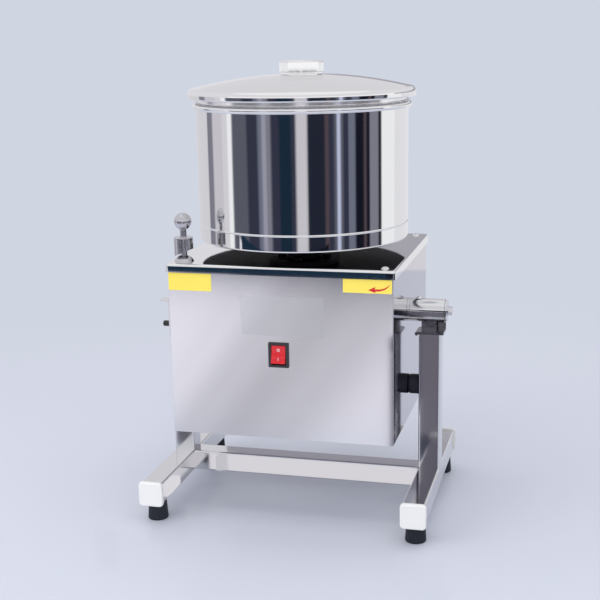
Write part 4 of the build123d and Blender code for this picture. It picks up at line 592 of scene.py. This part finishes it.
def copied(piece, name, shift=(0, 0, 0), mirrored=None):
    """A copy with its own mesh, moved, or mirrored through the plane at a place on one axis."""
    fresh()
    piece.select_set(True)
    bpy.context.view_layer.objects.active = piece
    bpy.ops.object.duplicate(linked=False)
    twin = bpy.context.object
    twin.name = name
    twin.location = Vector(shift)
    if mirrored:
        way, place = mirrored
        twin.scale[way] = -1
        twin.location[way] += 2 * place
    settle(twin)
    if mirrored:
        bpy.ops.object.mode_set(mode="EDIT")
        bpy.ops.mesh.select_all(action="SELECT")
        bpy.ops.mesh.normals_make_consistent(inside=False)
        bpy.ops.object.mode_set(mode="OBJECT")
    return twin


stand_y = (tube_low.y + tube_high.y) / 2
cap_back = copied(cap, "end_cap_back_right", mirrored=(1, stand_y))
across = (-2 * tube_x, 0, 0)
caps = [cap, cap_back, copied(cap, "end_cap_front_left", across),
        copied(cap_back, "end_cap_back_left", across)]
finished_set(caps, "stand", white_plastic, "end_caps")

# %% Four rubber feet
feet_low, feet_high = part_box("rubber_feet")
foot_height = feet_high.z
foot_wide, foot_narrow = 12.9 * mm, 11.4 * mm
bore_r, bore_deep = 6.5 * mm, 9.0 * mm
foot_edge, taper_start = 1.5 * mm, 3.5 * mm
foot_outline = [(0, bore_deep), (bore_r, bore_deep), (bore_r, 0), (foot_wide - foot_edge, 0)]
foot_outline += arc((foot_wide - foot_edge, foot_edge), foot_edge, -90, 0, 5)
foot_outline += [(foot_wide - hair, taper_start), (foot_narrow, foot_height), (0, foot_height)]
feet_y = [feet_low.y + foot_wide + hair, feet_high.y - foot_wide - hair]
rubber_foot = turned("rubber_foot_front_right", foot_outline, (tube_x, feet_y[0], 0), 64)
back_foot = copied(rubber_foot, "rubber_foot_back_right", (0, feet_y[1] - feet_y[0], 0))
feet = [rubber_foot, back_foot, copied(rubber_foot, "rubber_foot_front_left", across),
        copied(back_foot, "rubber_foot_back_left", across)]
finished_set(feet, "stand", rubber, "rubber_feet")

# %% [markdown]
# ## The rocker switch
#
# The rocker is a bar with a dished face that tips about a pin. Its side view says everything, so that is
# drawn point by point, filled, and pushed out to the rocker's width. A narrow bevel breaks the edges. The
# two marks, a ring and a bar, are thin plates let into the face.

# %% A drawn section, pushed to a depth
def drawn(name, section, start, depth):
    """A prism along X: the section's (y, z) points, filled and extruded."""
    piece = line_through(name, [(start, y, z) for y, z in section])
    bpy.ops.mesh.edge_face_add()
    bpy.ops.mesh.extrude_region_move(TRANSFORM_OT_translate={"value": (depth, 0, 0)})
    bpy.ops.mesh.select_all(action="SELECT")
    bpy.ops.mesh.normals_make_consistent(inside=False)
    bpy.ops.object.mode_set(mode="OBJECT")
    return piece


def softened(piece, width, segments=3, angle=40):
    """Breaks every edge sharper than the angle with a narrow rounding."""
    rounding = piece.modifiers.new("edges", "BEVEL")
    rounding.width = width
    rounding.segments = segments
    rounding.limit_method = "ANGLE"
    rounding.angle_limit = radians(angle)
    fresh()
    piece.select_set(True)
    bpy.context.view_layer.objects.active = piece
    bpy.ops.object.modifier_apply(modifier=rounding.name)


# %% The rocker
rocker_low, rocker_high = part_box("switch_rocker")
frame_low, frame_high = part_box("switch_frame")
switch_x = (frame_low.x + frame_high.x) / 2
switch_z = (frame_low.z + frame_high.z) / 2
axis_depth = 4.0 * mm
rocker_axis = Vector((switch_x, frame_low.y + axis_depth, switch_z))
rocker_wide, rocker_tall = 17.5 * mm, 22.0 * mm
proud, dip, lean_back = 6.0 * mm, 1.6 * mm, radians(-11)
tail_deep, tail_half = 5.0 * mm, 4.5 * mm
face_steps = 14


def face_depth(z):
    """How far back the dished face lies at a height above the rocker's middle."""
    return dip * (1 - (2 * z / rocker_tall) ** 2) - proud


heights = [rocker_tall * (i / face_steps - 0.5) for i in range(face_steps + 1)]
section = [(face_depth(z), z) for z in heights]
section += [(0, rocker_tall / 2), (tail_deep, tail_half), (tail_deep, -tail_half), (0, -rocker_tall / 2)]
rocker = drawn("rocker", section, -rocker_wide / 2, rocker_wide)
softened(rocker, 0.5 * mm)
rocker.rotation_euler = (lean_back, 0, 0)
rocker.location = rocker_axis
settle(rocker)
finished(rocker, "rocker", red_plastic, ["switch_rocker"])

# %% The marks on the rocker
mark_z = rocker_tall / 4
mark_proud = 0.12 * mm


def on_rocker(piece, z):
    """Lays a mark that was made at the origin on the rocker's face at a height."""
    slope = atan2(face_depth(z + mm) - face_depth(z - mm), 2 * mm)
    lie = Matrix.Rotation(lean_back, 4, "X") @ Matrix.Translation((0, face_depth(z) - mark_proud, z))
    tip = Matrix.Rotation(-slope, 4, "X")
    piece.matrix_world = Matrix.Translation(rocker_axis) @ lie @ tip @ piece.matrix_world
    settle(piece)


mark_deep = 0.6 * mm
ring_in, ring_out = 1.25 * mm, 1.85 * mm
bar_half_wide, bar_half_tall = 0.3 * mm, 1.8 * mm
ring_outline = [(ring_in, 0), (ring_out, 0), (ring_out, mark_deep), (ring_in, mark_deep), (ring_in, 0)]
ring = turned("ring_mark", ring_outline, (0, 0, 0), 40, (radians(-90), 0, 0))
on_rocker(ring, mark_z)
bar = block("bar_mark", (-bar_half_wide, 0, -bar_half_tall), (bar_half_wide, mark_deep, bar_half_tall))
softened(bar, 0.08 * mm)
on_rocker(bar, -mark_z)
for piece in (ring, bar):
    finished(piece, "rocker", mark_paint)

# %% [markdown]
# ## Screws
#
# Domed screws with a cross in the head hold the cover and the back panel. One is turned, two thin blocks
# cut its cross, and it is copied to each place of the frame's screws.

# %% One screw head and its copies
screw_r, screw_h = 5.0 * mm, 2.6 * mm
dome_r = (screw_r**2 + screw_h**2) / (2 * screw_h)
dome_lean = 180 / pi * atan2(screw_r, dome_r - screw_h)
shank_r, shank_long = 2.4 * mm, 4.0 * mm
cross_thin, cross_long, cross_deep = 0.9 * mm, 4.6 * mm, 1.1 * mm
screw_outline = [(0, -shank_long), (shank_r, -shank_long), (shank_r, 0), (screw_r, 0)]
screw_outline += arc((0, screw_h - dome_r), dome_r, 90 - dome_lean, 90, 10)[1:]
screw = turned("cover_screw_back_right", screw_outline, (0, 0, 0), 48)
for wide, long in ((cross_thin, cross_long), (cross_long, cross_thin)):
    cutter = block("slot", (-wide / 2, -long / 2, screw_h - cross_deep), (wide / 2, long / 2, screw_h + mm))
    cut = screw.modifiers.new("cross", "BOOLEAN")
    cut.object = cutter
    cut.operation = "DIFFERENCE"
    fresh()
    bpy.context.view_layer.objects.active = screw
    bpy.ops.object.modifier_apply(modifier=cut.name)
    bpy.data.objects.remove(cutter)

screws_low, screws_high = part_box("panel_screws")
screw_inset = 12.0 * mm
sheet_drop, side_inset = 5.0 * mm, 6.0 * mm
top_z = cover_high.z
deck_low, deck_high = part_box("deck_plate")
left_x, right_x = deck_low.x + screw_inset, deck_high.x - screw_inset
near_y, far_y = deck_low.y + screw_inset, deck_high.y - screw_inset
top_places = [(right_x, near_y, top_z), (left_x, far_y, top_z)]
screws = [copied(screw, "cover_screw_" + str(i + 2), place) for i, place in enumerate(top_places)]
panel_low, panel_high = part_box("back_panel")
seat_y = deck_high.y
middle_z = (panel_low.z + panel_high.z) / 2
row_z = [panel_low.z + screw_inset - sheet_drop, middle_z, panel_high.z - screw_inset]
for side in (-1, 1):
    for i, z in enumerate(row_z):
        twin = copied(screw, "back_screw_" + str(i) + ("_left" if side < 0 else "_right"))
        twin.rotation_euler = (radians(-90), 0, 0)
        twin.location = (side * (panel_high.x - side_inset), seat_y, z)
        settle(twin)
        screws.append(twin)
screw.location = (right_x, far_y, top_z)
settle(screw)
screws.insert(0, screw)
finished_set(screws, "housing", plated, "panel_screws")

# %% [markdown]
# ## Plates on the front
#
# Two thin yellow plates sit under the cover's edge, and a clear film lies on the middle of the panel. Each
# is a flat block with rounded corners: the plates are a quarter of a millimetre thick and the film about
# half of that. A red arrow lies on the right plate, drawn as an outline like the rocker's section.

# %% Plates and film
front_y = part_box("front_panel")[0].y


def front_plate(name, x_from, x_to, z_from, z_to, thickness, rounding, made):
    """A thin plate on the front panel, between those places across and up."""
    low, high = (x_from, front_y - thickness, z_from), (x_to, front_y, z_to)
    piece = rounded_block(name, low, high, 1, rounding, 4)
    bpy.ops.object.mode_set(mode="OBJECT")
    finished(piece, "housing", made)


plate_top = cover_low.z - hair
plate_thick, plate_round = 0.25 * mm, 1.0 * mm
film_thick, film_round = 0.12 * mm, 1.5 * mm
front_plate("left_plate", -138.6 * mm, -84.0 * mm, 300.4 * mm, plate_top, plate_thick, plate_round, yellow)
front_plate("right_plate", 79.0 * mm, 137.4 * mm, 305.6 * mm, plate_top, plate_thick, plate_round, yellow)
front_plate("clear_film", -47.9 * mm, 55.1 * mm, 248.9 * mm, 297.5 * mm, film_thick, film_round, film)

# %% The arrow on the right plate
arrow_thick = 0.12 * mm
arrow_points = [  # across and up, in millimetres
    (109.1, 309.4), (117.6, 306.4), (117.9, 308.1), (122.0, 308.3), (125.9, 309.2), (129.0, 310.5),
    (131.6, 312.2), (133.6, 314.4), (135.4, 317.4), (132.6, 314.7), (129.8, 312.8), (127.2, 311.7),
    (124.4, 311.0), (120.6, 310.7), (116.9, 310.7), (117.8, 313.6),
]
arrow_outline = [(x * mm, z * mm) for x, z in arrow_points]
arrow = drawn("plate_arrow", arrow_outline, 0, arrow_thick)
arrow.rotation_euler = (0, 0, radians(-90))
arrow.location = (0, front_y - plate_thick, 0)
settle(arrow)
finished(arrow, "housing", red_plastic)

# %% [markdown]
# ## A pale studio
#
# The machine stands on a pale, slightly glossy table whose far end melts into the backdrop. The floor
# stays a plain surface near the machine, so that it takes the shadow, and turns into the backdrop's own
# colour further out. The world shows the backdrop to the camera, an even tent to reflections, and a soft
# bluish air to everything else.

# %% The floor
backdrop = (0.630, 0.665, 0.760)
floor_size = 12.0
fade_from, fade_to = 0.35, 1.5  # metres from the middle of the floor
bpy.ops.object.select_all(action="DESELECT")
bpy.ops.mesh.primitive_plane_add(size=floor_size, location=(0, 0, 0))
floor = bpy.context.object
floor.name = "studio floor"
floor_finish = finish("studio floor", (0.655, 0.675, 0.755), 0.0, 0.16)
shader_of(floor_finish).inputs["Specular IOR Level"].default_value = 0.06
tree = floor_finish.node_tree
coords = tree.nodes.new("ShaderNodeTexCoord")
distance = tree.nodes.new("ShaderNodeVectorMath")
distance.operation = "LENGTH"
fade = tree.nodes.new("ShaderNodeMapRange")
fade.interpolation_type = "SMOOTHSTEP"
fade.inputs["From Min"].default_value = fade_from
fade.inputs["From Max"].default_value = fade_to
seen = tree.nodes.new("ShaderNodeLightPath")
both = tree.nodes.new("ShaderNodeMath")
both.operation = "MULTIPLY"
glow = tree.nodes.new("ShaderNodeEmission")
glow.inputs["Color"].default_value = (*backdrop, 1)
blend = tree.nodes.new("ShaderNodeMixShader")
tree.links.new(coords.outputs["Object"], distance.inputs[0])
tree.links.new(distance.outputs["Value"], fade.inputs["Value"])
tree.links.new(fade.outputs["Result"], both.inputs[0])
tree.links.new(seen.outputs["Is Camera Ray"], both.inputs[1])
tree.links.new(both.outputs["Value"], blend.inputs["Fac"])
tree.links.new(shader_of(floor_finish).outputs["BSDF"], blend.inputs[1])
tree.links.new(glow.outputs["Emission"], blend.inputs[2])
tree.links.new(blend.outputs["Shader"], tree.nodes["Material Output"].inputs["Surface"])
floor.data.materials.append(floor_finish)

# %% Tent and backdrop
tent_tone = (0.93, 0.94, 0.96)
world = bpy.data.worlds.new("studio")
bpy.context.scene.world = world
world.use_nodes = True
sky = world.node_tree
air = sky.nodes["Background"]
air.inputs["Color"].default_value = (0.93, 0.95, 1.0, 1)
air.inputs["Strength"].default_value = 0.90
behind = sky.nodes.new("ShaderNodeBackground")
behind.inputs["Color"].default_value = (*backdrop, 1)
tent = sky.nodes.new("ShaderNodeBackground")
tent.inputs["Color"].default_value = (*tent_tone, 1)
path = sky.nodes.new("ShaderNodeLightPath")
first = sky.nodes.new("ShaderNodeMixShader")
second = sky.nodes.new("ShaderNodeMixShader")
sky.links.new(path.outputs["Is Glossy Ray"], first.inputs["Fac"])
sky.links.new(air.outputs["Background"], first.inputs[1])
sky.links.new(tent.outputs["Background"], first.inputs[2])
sky.links.new(path.outputs["Is Camera Ray"], second.inputs["Fac"])
sky.links.new(first.outputs["Shader"], second.inputs[1])
sky.links.new(behind.outputs["Background"], second.inputs[2])
sky.links.new(second.outputs["Shader"], sky.nodes["World Output"].inputs["Surface"])

# %% [markdown]
# ## Flags: dark cards for a mirror
#
# A mirror in a white tent looks like milk glass. Studio photographers stand dark cards, called flags,
# round the tent, and the drum bends them into its upright bands. The drum's flags are the stripes of one
# round wall. Higher walls give the cover and the lid their tones, and flat cards nearer the machine tone
# single places. All of them glow by themselves, so that each tone is exact, and only reflections see them.

# %% A card that only reflections see
flag_circle, cover_circle, lid_circle = 1.55, 1.60, 1.62
wall_steps = 240
camera_side = radians(-75.65)
angle_slack = 0.01  # degrees


def unseen(made):
    """Lets only reflections see an object: the camera, diffuse light and transmission pass it by, and it
    casts no shadow.
    """
    made.visible_camera = False
    made.visible_diffuse = False
    made.visible_shadow = False
    made.visible_transmission = False


def glowing(name):
    """A material that glows by itself, and its node."""
    made = bpy.data.materials.new(name)
    made.use_nodes = True
    tree = made.node_tree
    tree.nodes.remove(tree.nodes["Principled BSDF"])
    lit = tree.nodes.new("ShaderNodeEmission")
    tree.links.new(lit.outputs["Emission"], tree.nodes["Material Output"].inputs["Surface"])
    return made, lit


def even(name, tone):
    """A material that glows in one tone."""
    made, lit = glowing(name)
    lit.inputs["Color"].default_value = (*tone, 1)
    return made


def striped(name, stripes, blend):
    """Stripes by starting angle and tone. Neighbours blend over that many degrees to either side."""
    made, lit = glowing(name)
    tree = made.node_tree
    place = tree.nodes.new("ShaderNodeTexCoord")
    turn = tree.nodes.new("ShaderNodeTexGradient")
    turn.gradient_type = "RADIAL"
    ramp = tree.nodes.new("ShaderNodeValToRGB")
    tree.links.new(place.outputs["Object"], turn.inputs["Vector"])
    tree.links.new(turn.outputs["Color"], ramp.inputs["Fac"])
    tree.links.new(ramp.outputs["Color"], lit.inputs["Color"])
    stops = ramp.color_ramp.elements
    stops.remove(stops[1])
    stops[0].position = 0
    stops[0].color = (*stripes[0][1], 1)
    before = stripes[0][1]
    for angle, tone in stripes[1:]:
        for shift, colour in ((-blend, before), (blend, tone)):
            stops.new(0.5 + (angle + shift) / 360).color = (*colour, 1)
        before = tone
    return made


def wall(name, start, end, bottom, top, made, circle=flag_circle):
    """A stretch of round wall, from start to end degrees to the camera's right."""
    middle = (start + end) / 2
    reach = (end - start) / 2 + angle_slack

    def beyond(vertex):
        angle = degrees(atan2(vertex.co.y, vertex.co.x)) - middle
        return abs((angle + 180) % 360 - 180) > reach

    fresh()
    spot = (axis.x, axis.y, 0)
    turn = (0, 0, camera_side)
    bpy.ops.mesh.primitive_circle_add(vertices=wall_steps, radius=circle, location=spot, rotation=turn)
    standing = bpy.context.object
    standing.name = name
    bpy.ops.object.mode_set(mode="EDIT")
    pick(standing, "VERT", beyond)
    bpy.ops.mesh.delete(type="VERT")
    bpy.ops.mesh.select_all(action="SELECT")
    bpy.ops.transform.translate(value=(0, 0, bottom))
    bpy.ops.mesh.extrude_region_move(TRANSFORM_OT_translate={"value": (0, 0, top - bottom)})
    bpy.ops.object.mode_set(mode="OBJECT")
    standing.data.materials.append(made)
    unseen(standing)


# %% The wall's stripes
mist = (0.82, 0.82, 0.85)
pearl = (0.70, 0.69, 0.73)
shade = (0.62, 0.60, 0.65)
ash = (0.22, 0.22, 0.27)
slate = (0.105, 0.112, 0.145)
steel_blue = (0.16, 0.175, 0.24)
haze = (0.34, 0.34, 0.42)
dusk = (0.035, 0.038, 0.065)
teal = (0.010, 0.024, 0.045)
night = (0.016, 0.020, 0.036)
black = (0.008, 0.009, 0.018)
rust = (0.085, 0.062, 0.075)
glint = (0.58, 0.62, 0.82)

left_stripes = [
    (-180, pearl), (-119, ash), (-108.3, shade), (-92, pearl), (-84, tent_tone), (-77.6, slate), (-59, dusk),
    (-46.5, steel_blue), (-42, haze), (-37.5, ash), (-32.5, dusk), (-23.7, teal), (-12, dusk), (-7, shade),
]
right_stripes = [
    (-180, shade), (4.5, night), (22.1, rust), (26, dusk), (31.4, slate), (34.8, glint), (38.2, slate),
    (41.5, dusk), (47.1, steel_blue), (55, black), (65, rust), (68.4, black), (72.5, ash), (84.5, black),
    (89, tent_tone), (112, mist),
]
stripe_blend, wall_top = 0.7, 0.50
wall("left wall", -180, 0, 0.0, wall_top, striped("left stripes", left_stripes, stripe_blend))
wall("right wall", 0, 180, 0.0, wall_top, striped("right stripes", right_stripes, stripe_blend))

# %% Flat cards
def card(name, tone, corners):
    """A flat card with four corners."""
    fresh()
    bpy.ops.mesh.primitive_plane_add(size=1)
    flat = bpy.context.object
    flat.name = name
    for number, place in zip((0, 1, 3, 2), corners):
        flat.data.vertices[number].co = place
    flat.data.materials.append(even(name, tone))
    unseen(flat)


def front_card(name, tone, x_from, x_to, y, z_from, z_to):
    """An upright card that faces the front, all of it at one y."""
    card(name, tone, [(x_from, y, z_from), (x_to, y, z_from), (x_to, y, z_to), (x_from, y, z_to)])


def side_card(name, tone, x, y_from, y_to, z_from, z_to):
    """An upright card that faces sideways, all of it at one x."""
    card(name, tone, [(x, y_from, z_from), (x, y_to, z_from), (x, y_to, z_to), (x, y_from, z_to)])


# %% The higher walls and the cards
skirt_y, leg_y = -0.30, -0.165
lid_near, lid_far = (0.80, 0.79, 0.82), (0.72, 0.71, 0.74)
cover_plain, cover_dim = (0.76, 0.75, 0.79), (0.40, 0.39, 0.44)
front_card("skirt card", (0.010, 0.028, 0.054), -0.32, 0.10, skirt_y, 0.288, 0.315)
front_card("right skirt card", (0.007, 0.009, 0.018), 0.10, 0.22, skirt_y, 0.288, 0.315)
front_card("right leg card", (0.17, 0.16, 0.20), 0.128, 0.166, leg_y, 0.045, 0.22)
front_card("side strip card", (0.010, 0.010, 0.018), 0.166, 0.215, leg_y, 0.045, 0.26)
front_card("right foot card", (0.04, 0.045, 0.07), 0.128, 0.205, leg_y, 0.004, 0.045)
front_card("left leg card", (0.12, 0.12, 0.15), -0.236, -0.205, leg_y, 0.004, 0.06)
front_card("under card", (0.36, 0.35, 0.40), -0.16, 0.14, 0.142, 0.085, 0.122)
lid_stripes = [(-180, lid_far), (-150, lid_near), (150, lid_far)]
wall("lid wall", -180, 180, 0.78, 2.6, striped("lid stripes", lid_stripes, 18), lid_circle)
cover_stripes = [(-180, cover_plain), (100, cover_dim), (178, cover_plain)]
wall("cover wall", -180, 180, 0.54, 0.77, striped("cover stripes", cover_stripes, 1.5), cover_circle)
front_card("panel card", (0.80, 0.80, 0.88), -0.70, 0.30, -0.50, 0.0, 0.235)
front_card("cross tube card", (0.90, 0.88, 0.92), -0.15, 0.145, -0.068, 0.004, 0.036)
side_card("inner foot card", (0.72, 0.71, 0.76), -0.123, -0.13, 0.06, 0.004, 0.046)
wall("upper front wall", -75, 100, 0.51, 0.80, even("front card", (1.08, 1.08, 1.10)))
front_card("sleeve card", (0.02, 0.02, 0.035), 0.128, 0.24, leg_y, 0.222, 0.243)
side_card("inner leg card", (0.02, 0.02, 0.03), 0.151, -0.018, 0.0, 0.06, 0.23)

# %% Lamps that no reflection shows
def soft_lamp(name, place, target, size, power):
    """A square lamp at a place, aimed at a target."""
    light = bpy.data.lights.new(name, "AREA")
    light.shape = "SQUARE"
    light.size = size
    light.energy = power
    lamp = bpy.data.objects.new(name, light)
    bpy.context.scene.collection.objects.link(lamp)
    aim = Vector(target) - Vector(place)
    lamp.matrix_world = Matrix.Translation(place) @ aim.to_track_quat("-Z", "Y").to_matrix().to_4x4()
    lamp.visible_glossy = False


soft_lamp("overhead", (0.1, -0.2, 1.9), (0, 0, 0.2), 1.8, 6)
soft_lamp("front left", (-1.6, -1.6, 1.3), (0, 0, 0.25), 1.2, 10)
soft_lamp("low front", (0.3, -1.9, 0.5), (0, 0, 0.1), 1.0, 8)

# %% [markdown]
# ## The camera
#
# The photographer stood a little to the right, a metre and a half away, and looked slightly down. The
# place, the turn and the lens were fitted to the machine's corners.

# %% Camera
camera_place = Vector((0.3670, -1.4290, 0.6026))
yaw, pitch, roll = radians(14.617), radians(-12.880), radians(-0.983)
ahead = Vector((-sin(yaw) * cos(pitch), cos(yaw) * cos(pitch), sin(pitch)))
sideways = Vector((cos(yaw), sin(yaw), 0))
above = sideways.cross(ahead)
rightward = sideways * cos(roll) + above * sin(roll)
upward = above * cos(roll) - sideways * sin(roll)
lens = bpy.data.cameras.new("camera")
lens.lens = 69.84
lens.sensor_width = 36
camera = bpy.data.objects.new("camera", lens)
bpy.context.scene.collection.objects.link(camera)
turned_to = Matrix((rightward, upward, -ahead)).transposed().to_4x4()
camera.matrix_world = Matrix.Translation(camera_place) @ turned_to
bpy.context.scene.camera = camera
bpy.context.scene.view_settings.view_transform = "Standard"
